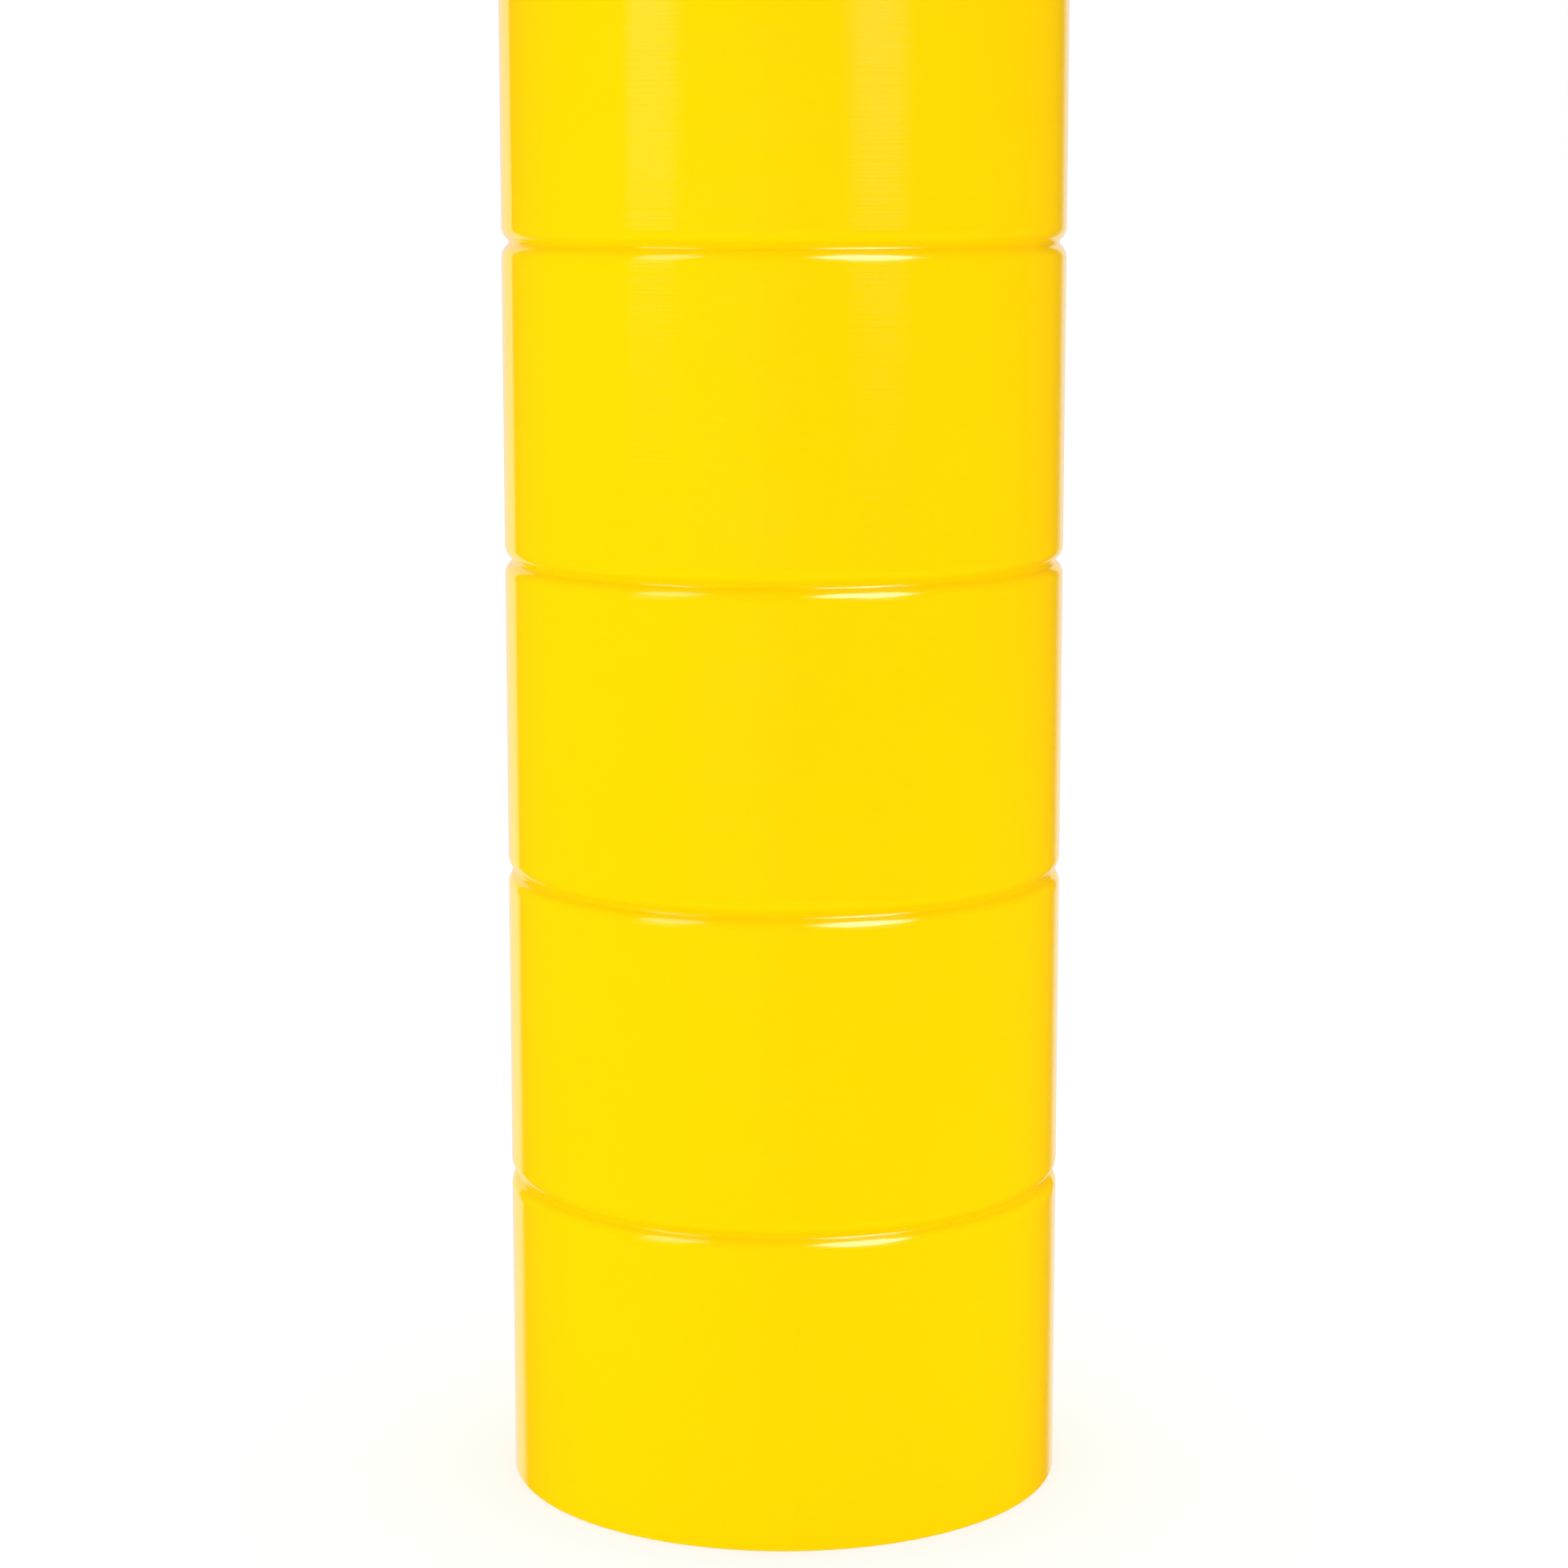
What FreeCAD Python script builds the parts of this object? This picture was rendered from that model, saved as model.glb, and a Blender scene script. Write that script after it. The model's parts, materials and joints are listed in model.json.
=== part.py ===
"""Safety bollard: a grooved polyethylene sleeve and cap over a steel post with a bolted base.

Millimetres. The origin is on the bollard's axis at floor level, and +Z points up. The driving
dimensions are in the spreadsheet "Dims"; every other size is an expression of them.
"""

import FreeCAD, Part
import math
import os
import Sketcher

DIMENSIONS = {
    # Sleeve: a pipe with turned grooves at an even pitch
    "groove_pitch": 101.6,
    "sleeve_segments": 8,
    "sleeve_radius": 90.5,
    "sleeve_wall": 6,
    "groove_depth": 2.3,
    "lip_radius": 5,
    "root_radius": 1.2,
    "cut_margin": 2,
    # Cap: one more segment, domed, with a spigot inside the sleeve and a hub for its bolt
    "cap_wall": 5,
    "crown_radius": 22,
    "dome_radius": 580,
    "spigot_depth": 32,
    "spigot_wall": 5,
    "spigot_clearance": 0.1,
    "seal_depth": 2.4,
    "seal_height": 5,
    "seal_level": 20,
    "seal_clearance": 0.05,
    "hub_rib_thickness": 4,
    "hub_rib_count": 6,
    "hub_rib_gap": 0.2,
    "hub_joint": 0.05,
    "hub_floor": 6,
    "recess_radius": 31,
    "recess_wall": 6,
    "lid_step": 3.5,
    "lid_thickness": 5.5,
    "lid_gap": 0.3,
    "plug_skirt_depth": 12,
    "plug_skirt_wall": 3.4,
    "plug_clearance": 0.06,
    "lead_in": 1,
    # Post, base plate and gussets
    "post_radius": 44.45,
    "post_wall": 5.5,
    "post_height": 868,
    "top_plate_thickness": 8,
    "plate_radius": 79,
    "plate_thickness": 12,
    "plate_chamfer": 1,
    "anchor_circle": 124,
    "anchor_hole": 14,
    "anchor_count": 4,
    "drain_hole": 20,
    "gusset_count": 4,
    "gusset_thickness": 6,
    "gusset_height": 60,
    "gusset_reach": 26,
    "gusset_ledge": 9,
    "gusset_toe": 8,
    "gusset_snipe": 7,
    # Foot ring that the sleeve turns and slides on
    "foot_clearance": 0.06,
    "foot_lip": 4,
    "foot_lip_thickness": 3,
    "foot_lip_gap": 0.2,
    # Bumper rings and what holds them on the post
    "fitting_clearance": 0.05,
    "collar_radius": 60,
    "collar_thickness": 5,
    "bumper_height": 40,
    "bumper_gap": 1,
    "bumper_edge": 4,
    "bumper_hub": 6,
    "bumper_rim": 6.5,
    "bumper_spoke": 6,
    "bumper_spokes": 10,
    "bumper_web": 5,
    "spacer_wall": 3.2,
    "stack_top": 760,
    "clamp_height": 14,
    "clamp_radius": 58,
    "clamp_slot": 3,
    "clamp_screw_offset": 51.5,
    "clamp_screw": 6,
    "clamp_hole": 6.6,
    "clamp_screw_length": 26,
    "clamp_head": 10,
    "clamp_head_height": 6,
    "clamp_key": 5,
    "clamp_key_depth": 3,
    "clamp_spotface": 12,
    # Cap bolt, washer and weld nut
    "bolt_size": 12,
    "bolt_hole": 13.5,
    "bolt_flats": 18,
    "bolt_head": 7.5,
    "bolt_length": 29.5,
    "bolt_chamfer": 1.2,
    "washer_radius": 14,
    "washer_thickness": 2.5,
    "nut_flats": 19,
    "nut_height": 10,
    "nut_clearance": 0.05,
}

# Radii and levels that several pieces share
SLEEVE_BORE = "(Dims.sleeve_radius - Dims.sleeve_wall)"
SLEEVE_TOP = "(Dims.groove_pitch * Dims.sleeve_segments)"
GROOVE_BOTTOM = "(Dims.sleeve_radius - Dims.groove_depth)"
LIP_HEIGHT = "sqrt(Dims.lip_radius ^ 2 - (Dims.lip_radius - Dims.groove_depth) ^ 2)"
GUSSET_TOP = "(Dims.plate_thickness + Dims.gusset_height)"
STACK_BOTTOM = f"({GUSSET_TOP} + Dims.collar_thickness)"
SPACER_LENGTH = f"((Dims.stack_top - {STACK_BOTTOM} - 3 * Dims.bumper_height) / 2)"
TUBE_TOP = "(Dims.post_height - Dims.top_plate_thickness)"
FITTING_BORE = "(Dims.post_radius + Dims.fitting_clearance)"

# Radii and levels inside the cap, measured from the sleeve's top edge
HUB_FOOT = f"(Dims.post_height - {SLEEVE_TOP})"
RECESS_FLOOR = f"({HUB_FOOT} + Dims.hub_floor)"
LID_SEAT = "(Dims.groove_pitch - Dims.lid_thickness)"
LID_RADIUS = "(Dims.recess_radius + Dims.lid_step)"
SPIGOT_RADIUS = f"({SLEEVE_BORE} - Dims.spigot_clearance)"
CROWN_CENTRE = "(Dims.sleeve_radius - Dims.crown_radius)"
CROWN_LEVEL = (
    "(Dims.groove_pitch - Dims.dome_radius"
    f" + sqrt((Dims.dome_radius - Dims.crown_radius) ^ 2 - {CROWN_CENTRE} ^ 2))"
)

EDGE_TOLERANCE = 0.01  # how near an edge's radius and level are to the ones asked for, in mm
SAME_VOLUME = 1e-9  # the relative difference under which two volumes are the same


def dome_level(radius, depth="0"):
    """The height of the cap's domed top, or of the surface a depth below it, at a radius."""
    return (
        "(Dims.groove_pitch - Dims.dome_radius"
        f" + sqrt((Dims.dome_radius - {depth}) ^ 2 - {radius} ^ 2))"
    )


# Document, sketches and features


def make_sheet(doc):
    """Keep every driving dimension in a cell with its own alias."""
    sheet = doc.addObject("Spreadsheet::Sheet", "Dims")
    for row, (alias, value) in enumerate(DIMENSIONS.items(), start=1):
        sheet.set(f"A{row}", str(value))
        sheet.setAlias(f"A{row}", alias)
    doc.recompute()
    return sheet


def make_body(doc, label, level=None, turn=0):
    """A body of its own, raised to a level and turned about the bollard's axis."""
    body = doc.addObject("PartDesign::Body", label)
    body.Label = label
    rotation = FreeCAD.Rotation(FreeCAD.Vector(0, 0, 1), turn)
    body.Placement = FreeCAD.Placement(FreeCAD.Vector(), rotation)
    if level:
        body.setExpression("Placement.Base.z", level)
    return body


def origin_feature(body, role):
    return next(feature for feature in body.Origin.OriginFeatures if feature.Role == role)


def make_sketch(body, name, plane, offset=None):
    """A sketch on one of the body's origin planes, or on a parallel plane at an offset."""
    sketch = body.newObject("Sketcher::SketchObject", name)
    sketch.AttachmentSupport = (origin_feature(body, plane), [""])
    sketch.MapMode = "FlatFace"
    if offset:
        sketch.setExpression("AttachmentOffset.Base.z", offset)
    return sketch


def sheet_value(item, expression):
    """The value of an expression of the sheet's dimensions."""
    return float(item.evalExpression(expression))


def sheet_point(sketch, across, along):
    return FreeCAD.Vector(sheet_value(sketch, across), sheet_value(sketch, along), 0)


def constrain(sketch, kind, references, expression):
    """Add a dimension whose value is an expression of the sheet."""
    value = sheet_value(sketch, expression)
    index = sketch.addConstraint(Sketcher.Constraint(kind, *references, value))
    sketch.setExpression(f"Constraints[{index}]", expression)


def place_point(sketch, edge, end, corner):
    """Fix one end of an edge at a corner's distances from the sketch's origin."""
    constrain(sketch, "DistanceX", (-1, 1, edge, end), corner[0])
    constrain(sketch, "DistanceY", (-1, 1, edge, end), corner[1])


def arc_between(start, end, radius):
    """An arc from start to end, its centre to the left of the way it runs if radius is positive."""
    chord = end - start
    middle = (start + end) * 0.5
    left = FreeCAD.Vector(-chord.y, chord.x, 0).normalize()
    reach = math.sqrt(max(radius**2 - (chord.Length / 2) ** 2, 0))
    centre = middle + left * math.copysign(reach, radius)
    first, last = (start, end) if radius > 0 else (end, start)
    angles = [math.atan2(point.y - centre.y, point.x - centre.x) for point in (first, last)]
    if angles[1] < angles[0]:
        angles[1] += 2 * math.pi
    circle = Part.Circle(centre, FreeCAD.Vector(0, 0, 1), abs(radius))
    return Part.ArcOfCircle(circle, *angles)


def outline(sketch, corners):
    """Draw a closed outline through corners, each (across, along) in expressions of the sheet.

    A third item is the radius of the arc that leaves the corner, with its centre to the left.
    A fourth, "right", puts that centre to the right.
    """
    points = [sheet_point(sketch, *corner[:2]) for corner in corners]
    ends = []
    for number, corner in enumerate(corners):
        start, end = points[number], points[(number + 1) % len(points)]
        if len(corner) == 2:
            edge = sketch.addGeometry(Part.LineSegment(start, end), False)
            ends.append((edge, 1, 2))
            continue
        to_right = corner[-1] == "right"
        radius = sheet_value(sketch, corner[2]) * (-1 if to_right else 1)
        edge = sketch.addGeometry(arc_between(start, end, radius), False)
        ends.append((edge, 2, 1) if to_right else (edge, 1, 2))
    for number, (edge, start, end) in enumerate(ends):
        next_edge, next_start, _ = ends[(number + 1) % len(ends)]
        sketch.addConstraint(Sketcher.Constraint("Coincident", edge, end, next_edge, next_start))
    for (edge, start, _), corner in zip(ends, corners):
        place_point(sketch, edge, start, corner)
        if len(corner) > 2:
            constrain(sketch, "Radius", (edge,), corner[2])


def circle(sketch, across, along, diameter):
    """Draw a circle whose centre and diameter are expressions of the sheet."""
    radius = sheet_value(sketch, diameter) / 2
    ring = Part.Circle(sheet_point(sketch, across, along), FreeCAD.Vector(0, 0, 1), radius)
    edge = sketch.addGeometry(ring, False)
    place_point(sketch, edge, 3, (across, along))
    constrain(sketch, "Diameter", (edge,), diameter)


def hexagon(sketch, flats):
    """Draw a hexagon about the sketch's origin from the distance across its flats."""
    reach = f"{flats} / sqrt(3)"
    corners = [(f"{reach} * cos({turn} deg)", f"{reach} * sin({turn} deg)") for turn in range(0, 360, 60)]
    outline(sketch, corners)


def band(inner, outer, bottom, top):
    """The corners of a plain ring's section."""
    return [(inner, bottom), (outer, bottom), (outer, top), (inner, top)]


def turn_profile(body, name, corners, kind="PartDesign::Revolution"):
    """Revolve an outline about the body's axis, adding it or, as a Groove, cutting it."""
    sketch = make_sketch(body, f"{name}_profile", "XZ_Plane")
    outline(sketch, corners)
    feature = body.newObject(kind, name)
    feature.Profile = sketch
    feature.ReferenceAxis = (sketch, ["V_Axis"])
    feature.Angle = 360
    return feature


def pad(body, sketch, name, length, both_ways=False):
    feature = body.newObject("PartDesign::Pad", name)
    feature.Profile = sketch
    feature.setExpression("Length", length)
    feature.SideType = "Symmetric" if both_ways else "One side"
    return feature


def cut_through(body, sketch, name):
    """Cut a sketch's outlines through the whole body, both ways from the sketch's plane."""
    feature = body.newObject("PartDesign::Pocket", name)
    feature.Profile = sketch
    feature.Type = "ThroughAll"
    feature.SideType = "Symmetric"
    return feature


def repeat_round(body, feature, count):
    """Repeat a feature evenly about the body's axis."""
    pattern = body.newObject("PartDesign::PolarPattern", f"{feature.Name}_round")
    pattern.Originals = [feature]
    pattern.Axis = (origin_feature(body, "Z_Axis"), [""])
    pattern.Angle = 360
    pattern.setExpression("Occurrences", count)
    body.Tip = pattern
    return pattern


def repeat_up(body, feature, count, pitch):
    """Repeat a feature up the body's axis at a pitch."""
    pattern = body.newObject("PartDesign::LinearPattern", f"{feature.Name}_up")
    pattern.Originals = [feature]
    pattern.Direction = (origin_feature(body, "Z_Axis"), [""])
    pattern.setExpression("Length", f"{pitch} * ({count} - 1)")
    pattern.setExpression("Occurrences", count)
    body.Tip = pattern
    return pattern


def round_edges(body, base, name, radius, circles):
    """Fillet the circular edges of base that have the given radii and levels."""
    body.Document.recompute()
    wanted = [(sheet_value(body, edge_radius), sheet_value(body, level)) for edge_radius, level in circles]
    names = []
    for number, edge in enumerate(base.Shape.Edges, start=1):
        if not isinstance(edge.Curve, Part.Circle):
            continue
        here = (edge.Curve.Radius, edge.Curve.Center.z)
        if any(math.dist(here, there) < EDGE_TOLERANCE for there in wanted):
            names.append(f"Edge{number}")
    fillet = body.newObject("PartDesign::Fillet", name)
    fillet.Base = (base, names)
    fillet.setExpression("Radius", radius)
    return fillet


# Sub-parts, from the base plate up


def make_base_plate(doc):
    """A round steel plate with four anchor holes and a drain hole under the post."""
    body = make_body(doc, "base_plate")
    edge = "Dims.plate_radius - Dims.plate_chamfer"
    turn_profile(body, "plate_disc", [
        ("0", "0"),
        ("Dims.plate_radius", "0"),
        ("Dims.plate_radius", "Dims.plate_thickness - Dims.plate_chamfer"),
        (edge, "Dims.plate_thickness"),
        ("0", "Dims.plate_thickness"),
    ])
    drain = make_sketch(body, "drain_outline", "XY_Plane")
    circle(drain, "0", "0", "Dims.drain_hole")
    cut_through(body, drain, "drain")
    anchor = make_sketch(body, "anchor_outline", "XY_Plane")
    circle(anchor, "Dims.anchor_circle / 2", "0", "Dims.anchor_hole")
    hole = cut_through(body, anchor, "anchor_holes")
    repeat_round(body, hole, "Dims.anchor_count")


def make_post_tube(doc):
    body = make_body(doc, "post_tube", "Dims.plate_thickness")
    turn_profile(body, "tube_wall", band(
        "Dims.post_radius - Dims.post_wall", "Dims.post_radius", "0", f"{TUBE_TOP} - Dims.plate_thickness"))


def make_gusset_plate(doc, number, turn):
    """A sloping plate between two anchor holes, with a ledge on top and a snipe over the weld."""
    body = make_body(doc, f"gusset_plate_{number}", "Dims.plate_thickness", turn)
    sketch = make_sketch(body, f"gusset_outline_{number}", "XZ_Plane")
    outline(sketch, [
        ("Dims.post_radius + Dims.gusset_snipe", "0"),
        ("Dims.post_radius + Dims.gusset_reach", "0"),
        ("Dims.post_radius + Dims.gusset_reach", "Dims.gusset_toe"),
        ("Dims.post_radius + Dims.gusset_ledge", "Dims.gusset_height"),
        ("Dims.post_radius", "Dims.gusset_height"),
        ("Dims.post_radius", "Dims.gusset_snipe"),
    ])
    pad(body, sketch, f"gusset_web_{number}", "Dims.gusset_thickness", both_ways=True)


def make_gusset_plates(doc):
    """Gussets halfway between the anchor holes, which start on the X axis."""
    count = DIMENSIONS["gusset_count"]
    for number in range(count):
        make_gusset_plate(doc, number + 1, (number + 0.5) * 360 / count)


def make_post_top_plate(doc):
    """The disc welded on the post's end, which the cap sits on."""
    body = make_body(doc, "post_top_plate", TUBE_TOP)
    turn_profile(body, "top_disc", band(
        "Dims.bolt_hole / 2", "Dims.post_radius", "0", "Dims.top_plate_thickness"))


def make_weld_nut(doc):
    """The nut under the top plate that takes the cap bolt."""
    body = make_body(doc, "weld_nut", f"{TUBE_TOP} - Dims.nut_height")
    sketch = make_sketch(body, "nut_outline", "XY_Plane")
    hexagon(sketch, "Dims.nut_flats")
    circle(sketch, "0", "0", "Dims.bolt_size + 2 * Dims.nut_clearance")
    pad(body, sketch, "nut_block", "Dims.nut_height")


def make_foot_ring(doc):
    """The ring that turns on the base plate's rim and centres the sleeve's foot."""
    body = make_body(doc, "foot_ring")
    outer = f"{SLEEVE_BORE} - Dims.foot_clearance"
    lip_under = "Dims.plate_thickness + Dims.foot_lip_gap"
    lip_over = f"{lip_under} + Dims.foot_lip_thickness"
    turn_profile(body, "foot_ring_wall", [
        ("Dims.plate_radius + Dims.foot_clearance", "0"),
        (outer, "0"),
        (outer, f"{lip_over} - Dims.lead_in"),
        (f"{outer} - Dims.lead_in", lip_over),
        ("Dims.plate_radius - Dims.foot_lip", lip_over),
        ("Dims.plate_radius - Dims.foot_lip", lip_under),
        ("Dims.plate_radius + Dims.foot_clearance", lip_under),
    ])


def make_support_collar(doc):
    """The flat steel ring on the gussets' ledges, under the lowest bumper ring."""
    body = make_body(doc, "support_collar", GUSSET_TOP)
    turn_profile(body, "collar_wall", band(FITTING_BORE, "Dims.collar_radius", "0", "Dims.collar_thickness"))


def make_bumper_ring(doc, label, level):
    """An elastomer ring: hub, rim and spokes, with pockets either side of a web at mid-height."""
    body = make_body(doc, label, level)
    rim = f"({SLEEVE_BORE} - Dims.bumper_gap)"
    turn_profile(body, f"{label}_blank", [
        (FITTING_BORE, "0"),
        (f"{rim} - Dims.bumper_edge", "0", "Dims.bumper_edge"),
        (rim, "Dims.bumper_edge"),
        (rim, "Dims.bumper_height - Dims.bumper_edge", "Dims.bumper_edge"),
        (f"{rim} - Dims.bumper_edge", "Dims.bumper_height"),
        (FITTING_BORE, "Dims.bumper_height"),
    ])
    inner = f"({FITTING_BORE} + Dims.bumper_hub)"
    outer = f"({rim} - Dims.bumper_rim)"
    half_pitch = "180 deg / Dims.bumper_spokes"
    inner_angle = f"({half_pitch} - asin(Dims.bumper_spoke / 2 / {inner}))"
    outer_angle = f"({half_pitch} - asin(Dims.bumper_spoke / 2 / {outer}))"
    pocket_outline = [
        (f"{inner} * cos{inner_angle}", f"-{inner} * sin{inner_angle}"),
        (f"{outer} * cos{outer_angle}", f"-{outer} * sin{outer_angle}", outer),
        (f"{outer} * cos{outer_angle}", f"{outer} * sin{outer_angle}"),
        (f"{inner} * cos{inner_angle}", f"{inner} * sin{inner_angle}", inner, "right"),
    ]
    for side, level, upward in (("under", None, True), ("over", "Dims.bumper_height", False)):
        sketch = make_sketch(body, f"{label}_{side}_outline", "XY_Plane", level)
        outline(sketch, pocket_outline)
        cut = body.newObject("PartDesign::Pocket", f"{label}_{side}")
        cut.Profile = sketch
        cut.setExpression("Length", "(Dims.bumper_height - Dims.bumper_web) / 2")
        cut.Reversed = upward
        repeat_round(body, cut, "Dims.bumper_spokes")


def make_bumper_rings(doc):
    spacing = f"(Dims.bumper_height + {SPACER_LENGTH})"
    for number, place in enumerate(("lower", "middle", "upper")):
        make_bumper_ring(doc, f"bumper_ring_{place}", f"{STACK_BOTTOM} + {number} * {spacing}")


def make_spacer_tube(doc, label, level):
    body = make_body(doc, label, level)
    outer = f"{FITTING_BORE} + Dims.spacer_wall"
    turn_profile(body, f"{label}_wall", band(FITTING_BORE, outer, "0", SPACER_LENGTH))


def make_spacer_tubes(doc):
    """Tubes that keep the bumper rings apart."""
    first = f"{STACK_BOTTOM} + Dims.bumper_height"
    make_spacer_tube(doc, "spacer_tube_lower", first)
    make_spacer_tube(doc, "spacer_tube_upper", f"{first} + Dims.bumper_height + {SPACER_LENGTH}")


def make_clamp_collar(doc):
    """The split collar over the top bumper ring, drilled across its slot for the clamp screw."""
    body = make_body(doc, "clamp_collar", "Dims.stack_top")
    turn_profile(body, "clamp_wall", band(FITTING_BORE, "Dims.clamp_radius", "0", "Dims.clamp_height"))
    slot = make_sketch(body, "clamp_slot_outline", "XY_Plane")
    reach = "Dims.clamp_radius + Dims.cut_margin"
    outline(slot, [
        ("0", "-Dims.clamp_slot / 2"),
        (reach, "-Dims.clamp_slot / 2"),
        (reach, "Dims.clamp_slot / 2"),
        ("0", "Dims.clamp_slot / 2"),
    ])
    cut_through(body, slot, "clamp_slot")
    screw_hole = make_sketch(body, "clamp_hole_outline", "XZ_Plane")
    circle(screw_hole, "Dims.clamp_screw_offset", "Dims.clamp_height / 2", "Dims.clamp_hole")
    cut_through(body, screw_hole, "clamp_hole")
    seat = make_sketch(body, "clamp_seat_outline", "XZ_Plane", "Dims.clamp_screw_length / 2")
    circle(seat, "Dims.clamp_screw_offset", "Dims.clamp_height / 2", "Dims.clamp_spotface")
    spotface = body.newObject("PartDesign::Pocket", "clamp_spotface")
    spotface.Profile = seat
    spotface.Type = "ThroughAll"
    spotface.Reversed = True


def make_clamp_screw(doc):
    """A socket-head screw across the collar's slot, its head in the spotface."""
    body = make_body(doc, "clamp_screw", "Dims.stack_top + Dims.clamp_height / 2")
    half = "Dims.clamp_screw_length / 2"
    shank = make_sketch(body, "screw_shank_outline", "XZ_Plane")
    circle(shank, "Dims.clamp_screw_offset", "0", "Dims.clamp_screw")
    pad(body, shank, "screw_shank", "Dims.clamp_screw_length", both_ways=True)
    head = make_sketch(body, "screw_head_outline", "XZ_Plane", half)
    circle(head, "Dims.clamp_screw_offset", "0", "Dims.clamp_head")
    pad(body, head, "screw_head", "Dims.clamp_head_height")
    key = make_sketch(body, "screw_key_outline", "XZ_Plane", f"{half} + Dims.clamp_head_height")
    circle(key, "Dims.clamp_screw_offset", "0", "Dims.clamp_key")
    socket = body.newObject("PartDesign::Pocket", "screw_key")
    socket.Profile = key
    socket.setExpression("Length", "Dims.clamp_key_depth")


def make_sleeve(doc):
    """The yellow pipe: turned grooves at the pitch, and half a groove at its top edge."""
    body = make_body(doc, "sleeve")
    turn_profile(body, "sleeve_wall", [
        (SLEEVE_BORE, "0"),
        ("Dims.sleeve_radius", "0"),
        ("Dims.sleeve_radius", f"{SLEEVE_TOP} - {LIP_HEIGHT}", "Dims.lip_radius"),
        (GROOVE_BOTTOM, SLEEVE_TOP),
        (SLEEVE_BORE, SLEEVE_TOP),
    ])
    bend = "(Dims.lip_radius + Dims.root_radius)"
    half_height = f"sqrt({bend} ^ 2 - ({bend} - Dims.groove_depth) ^ 2)"
    meet = f"(Dims.lip_radius * {half_height} / {bend})"
    meet_radius = f"Dims.sleeve_radius - Dims.lip_radius * Dims.groove_depth / {bend}"
    level = "Dims.groove_pitch"
    clear = "Dims.sleeve_radius + Dims.cut_margin"
    groove = turn_profile(body, "sleeve_groove", [
        (clear, f"{level} - {half_height}"),
        (clear, f"{level} + {half_height}"),
        ("Dims.sleeve_radius", f"{level} + {half_height}", "Dims.lip_radius", "right"),
        (meet_radius, f"{level} + {half_height} - {meet}", "Dims.root_radius"),
        (meet_radius, f"{level} - {half_height} + {meet}", "Dims.lip_radius", "right"),
        ("Dims.sleeve_radius", f"{level} - {half_height}"),
    ], kind="PartDesign::Groove")
    repeat_up(body, groove, "(Dims.sleeve_segments - 1)", "Dims.groove_pitch")


def make_cap(doc):
    """The domed cap: a spigot with a seal groove below, and the lid's hole in the dome."""
    body = make_body(doc, "cap", SLEEVE_TOP)
    inside = "(Dims.sleeve_radius - Dims.cap_wall)"
    spigot_bore = f"({SPIGOT_RADIUS} - Dims.spigot_wall)"
    seal_bottom = "-Dims.seal_level"
    seal_top = "-Dims.seal_level + Dims.seal_height"
    seal_inner = f"{SPIGOT_RADIUS} - Dims.seal_depth"
    shell = turn_profile(body, "cap_shell", [
        (spigot_bore, "-Dims.spigot_depth"),
        (f"{SPIGOT_RADIUS} - Dims.lead_in", "-Dims.spigot_depth"),
        (SPIGOT_RADIUS, "-Dims.spigot_depth + Dims.lead_in"),
        (SPIGOT_RADIUS, seal_bottom),
        (seal_inner, seal_bottom),
        (seal_inner, seal_top),
        (SPIGOT_RADIUS, seal_top),
        (SPIGOT_RADIUS, "0"),
        (GROOVE_BOTTOM, "0", "Dims.lip_radius"),
        ("Dims.sleeve_radius", LIP_HEIGHT),
        ("Dims.sleeve_radius", dome_level("Dims.sleeve_radius"), "Dims.dome_radius"),
        (LID_RADIUS, dome_level(LID_RADIUS)),
        (LID_RADIUS, dome_level(LID_RADIUS, "Dims.cap_wall"), "Dims.dome_radius - Dims.cap_wall", "right"),
        (inside, dome_level(inside, "Dims.cap_wall")),
        (inside, f"{inside} - {spigot_bore}"),
        (spigot_bore, "0"),
    ])
    crown = round_edges(body, shell, "cap_crown", "Dims.crown_radius", [
        ("Dims.sleeve_radius", dome_level("Dims.sleeve_radius"))])
    round_edges(body, crown, "cap_hollow", "Dims.crown_radius - Dims.cap_wall", [
        (inside, dome_level(inside, "Dims.cap_wall"))])


def make_cap_hub(doc):
    """The cup welded under the cap's hole: it stands on the post, takes the bolt and has six ribs."""
    body = make_body(doc, "cap_hub", SLEEVE_TOP)
    outside = "(Dims.recess_radius + Dims.recess_wall)"
    rim = f"({LID_RADIUS} - Dims.hub_joint)"
    joint_depth = "(Dims.cap_wall + Dims.hub_joint)"
    turn_profile(body, "hub_cup", [
        ("Dims.bolt_hole / 2", HUB_FOOT),
        (outside, HUB_FOOT),
        (outside, dome_level(outside, joint_depth)),
        (rim, dome_level(rim, joint_depth)),
        (rim, LID_SEAT),
        ("Dims.recess_radius", LID_SEAT),
        ("Dims.recess_radius", RECESS_FLOOR),
        ("Dims.bolt_hole / 2", RECESS_FLOOR),
    ])
    rib_depth = "(Dims.cap_wall + Dims.hub_rib_gap)"
    rib_bend = f"(Dims.crown_radius - {rib_depth})"
    rib_root = f"({outside} - Dims.lead_in)"
    rib_outline = make_sketch(body, "hub_rib_outline", "XZ_Plane")
    outline(rib_outline, [
        (rib_root, RECESS_FLOOR),
        (f"{CROWN_CENTRE} + {rib_bend}", RECESS_FLOOR),
        (f"{CROWN_CENTRE} + {rib_bend}", CROWN_LEVEL, rib_bend),
        (CROWN_CENTRE, f"{CROWN_LEVEL} + {rib_bend}"),
        (rib_root, dome_level(rib_root, rib_depth)),
    ])
    rib = pad(body, rib_outline, "hub_rib", "Dims.hub_rib_thickness", both_ways=True)
    repeat_round(body, rib, "Dims.hub_rib_count")


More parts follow.
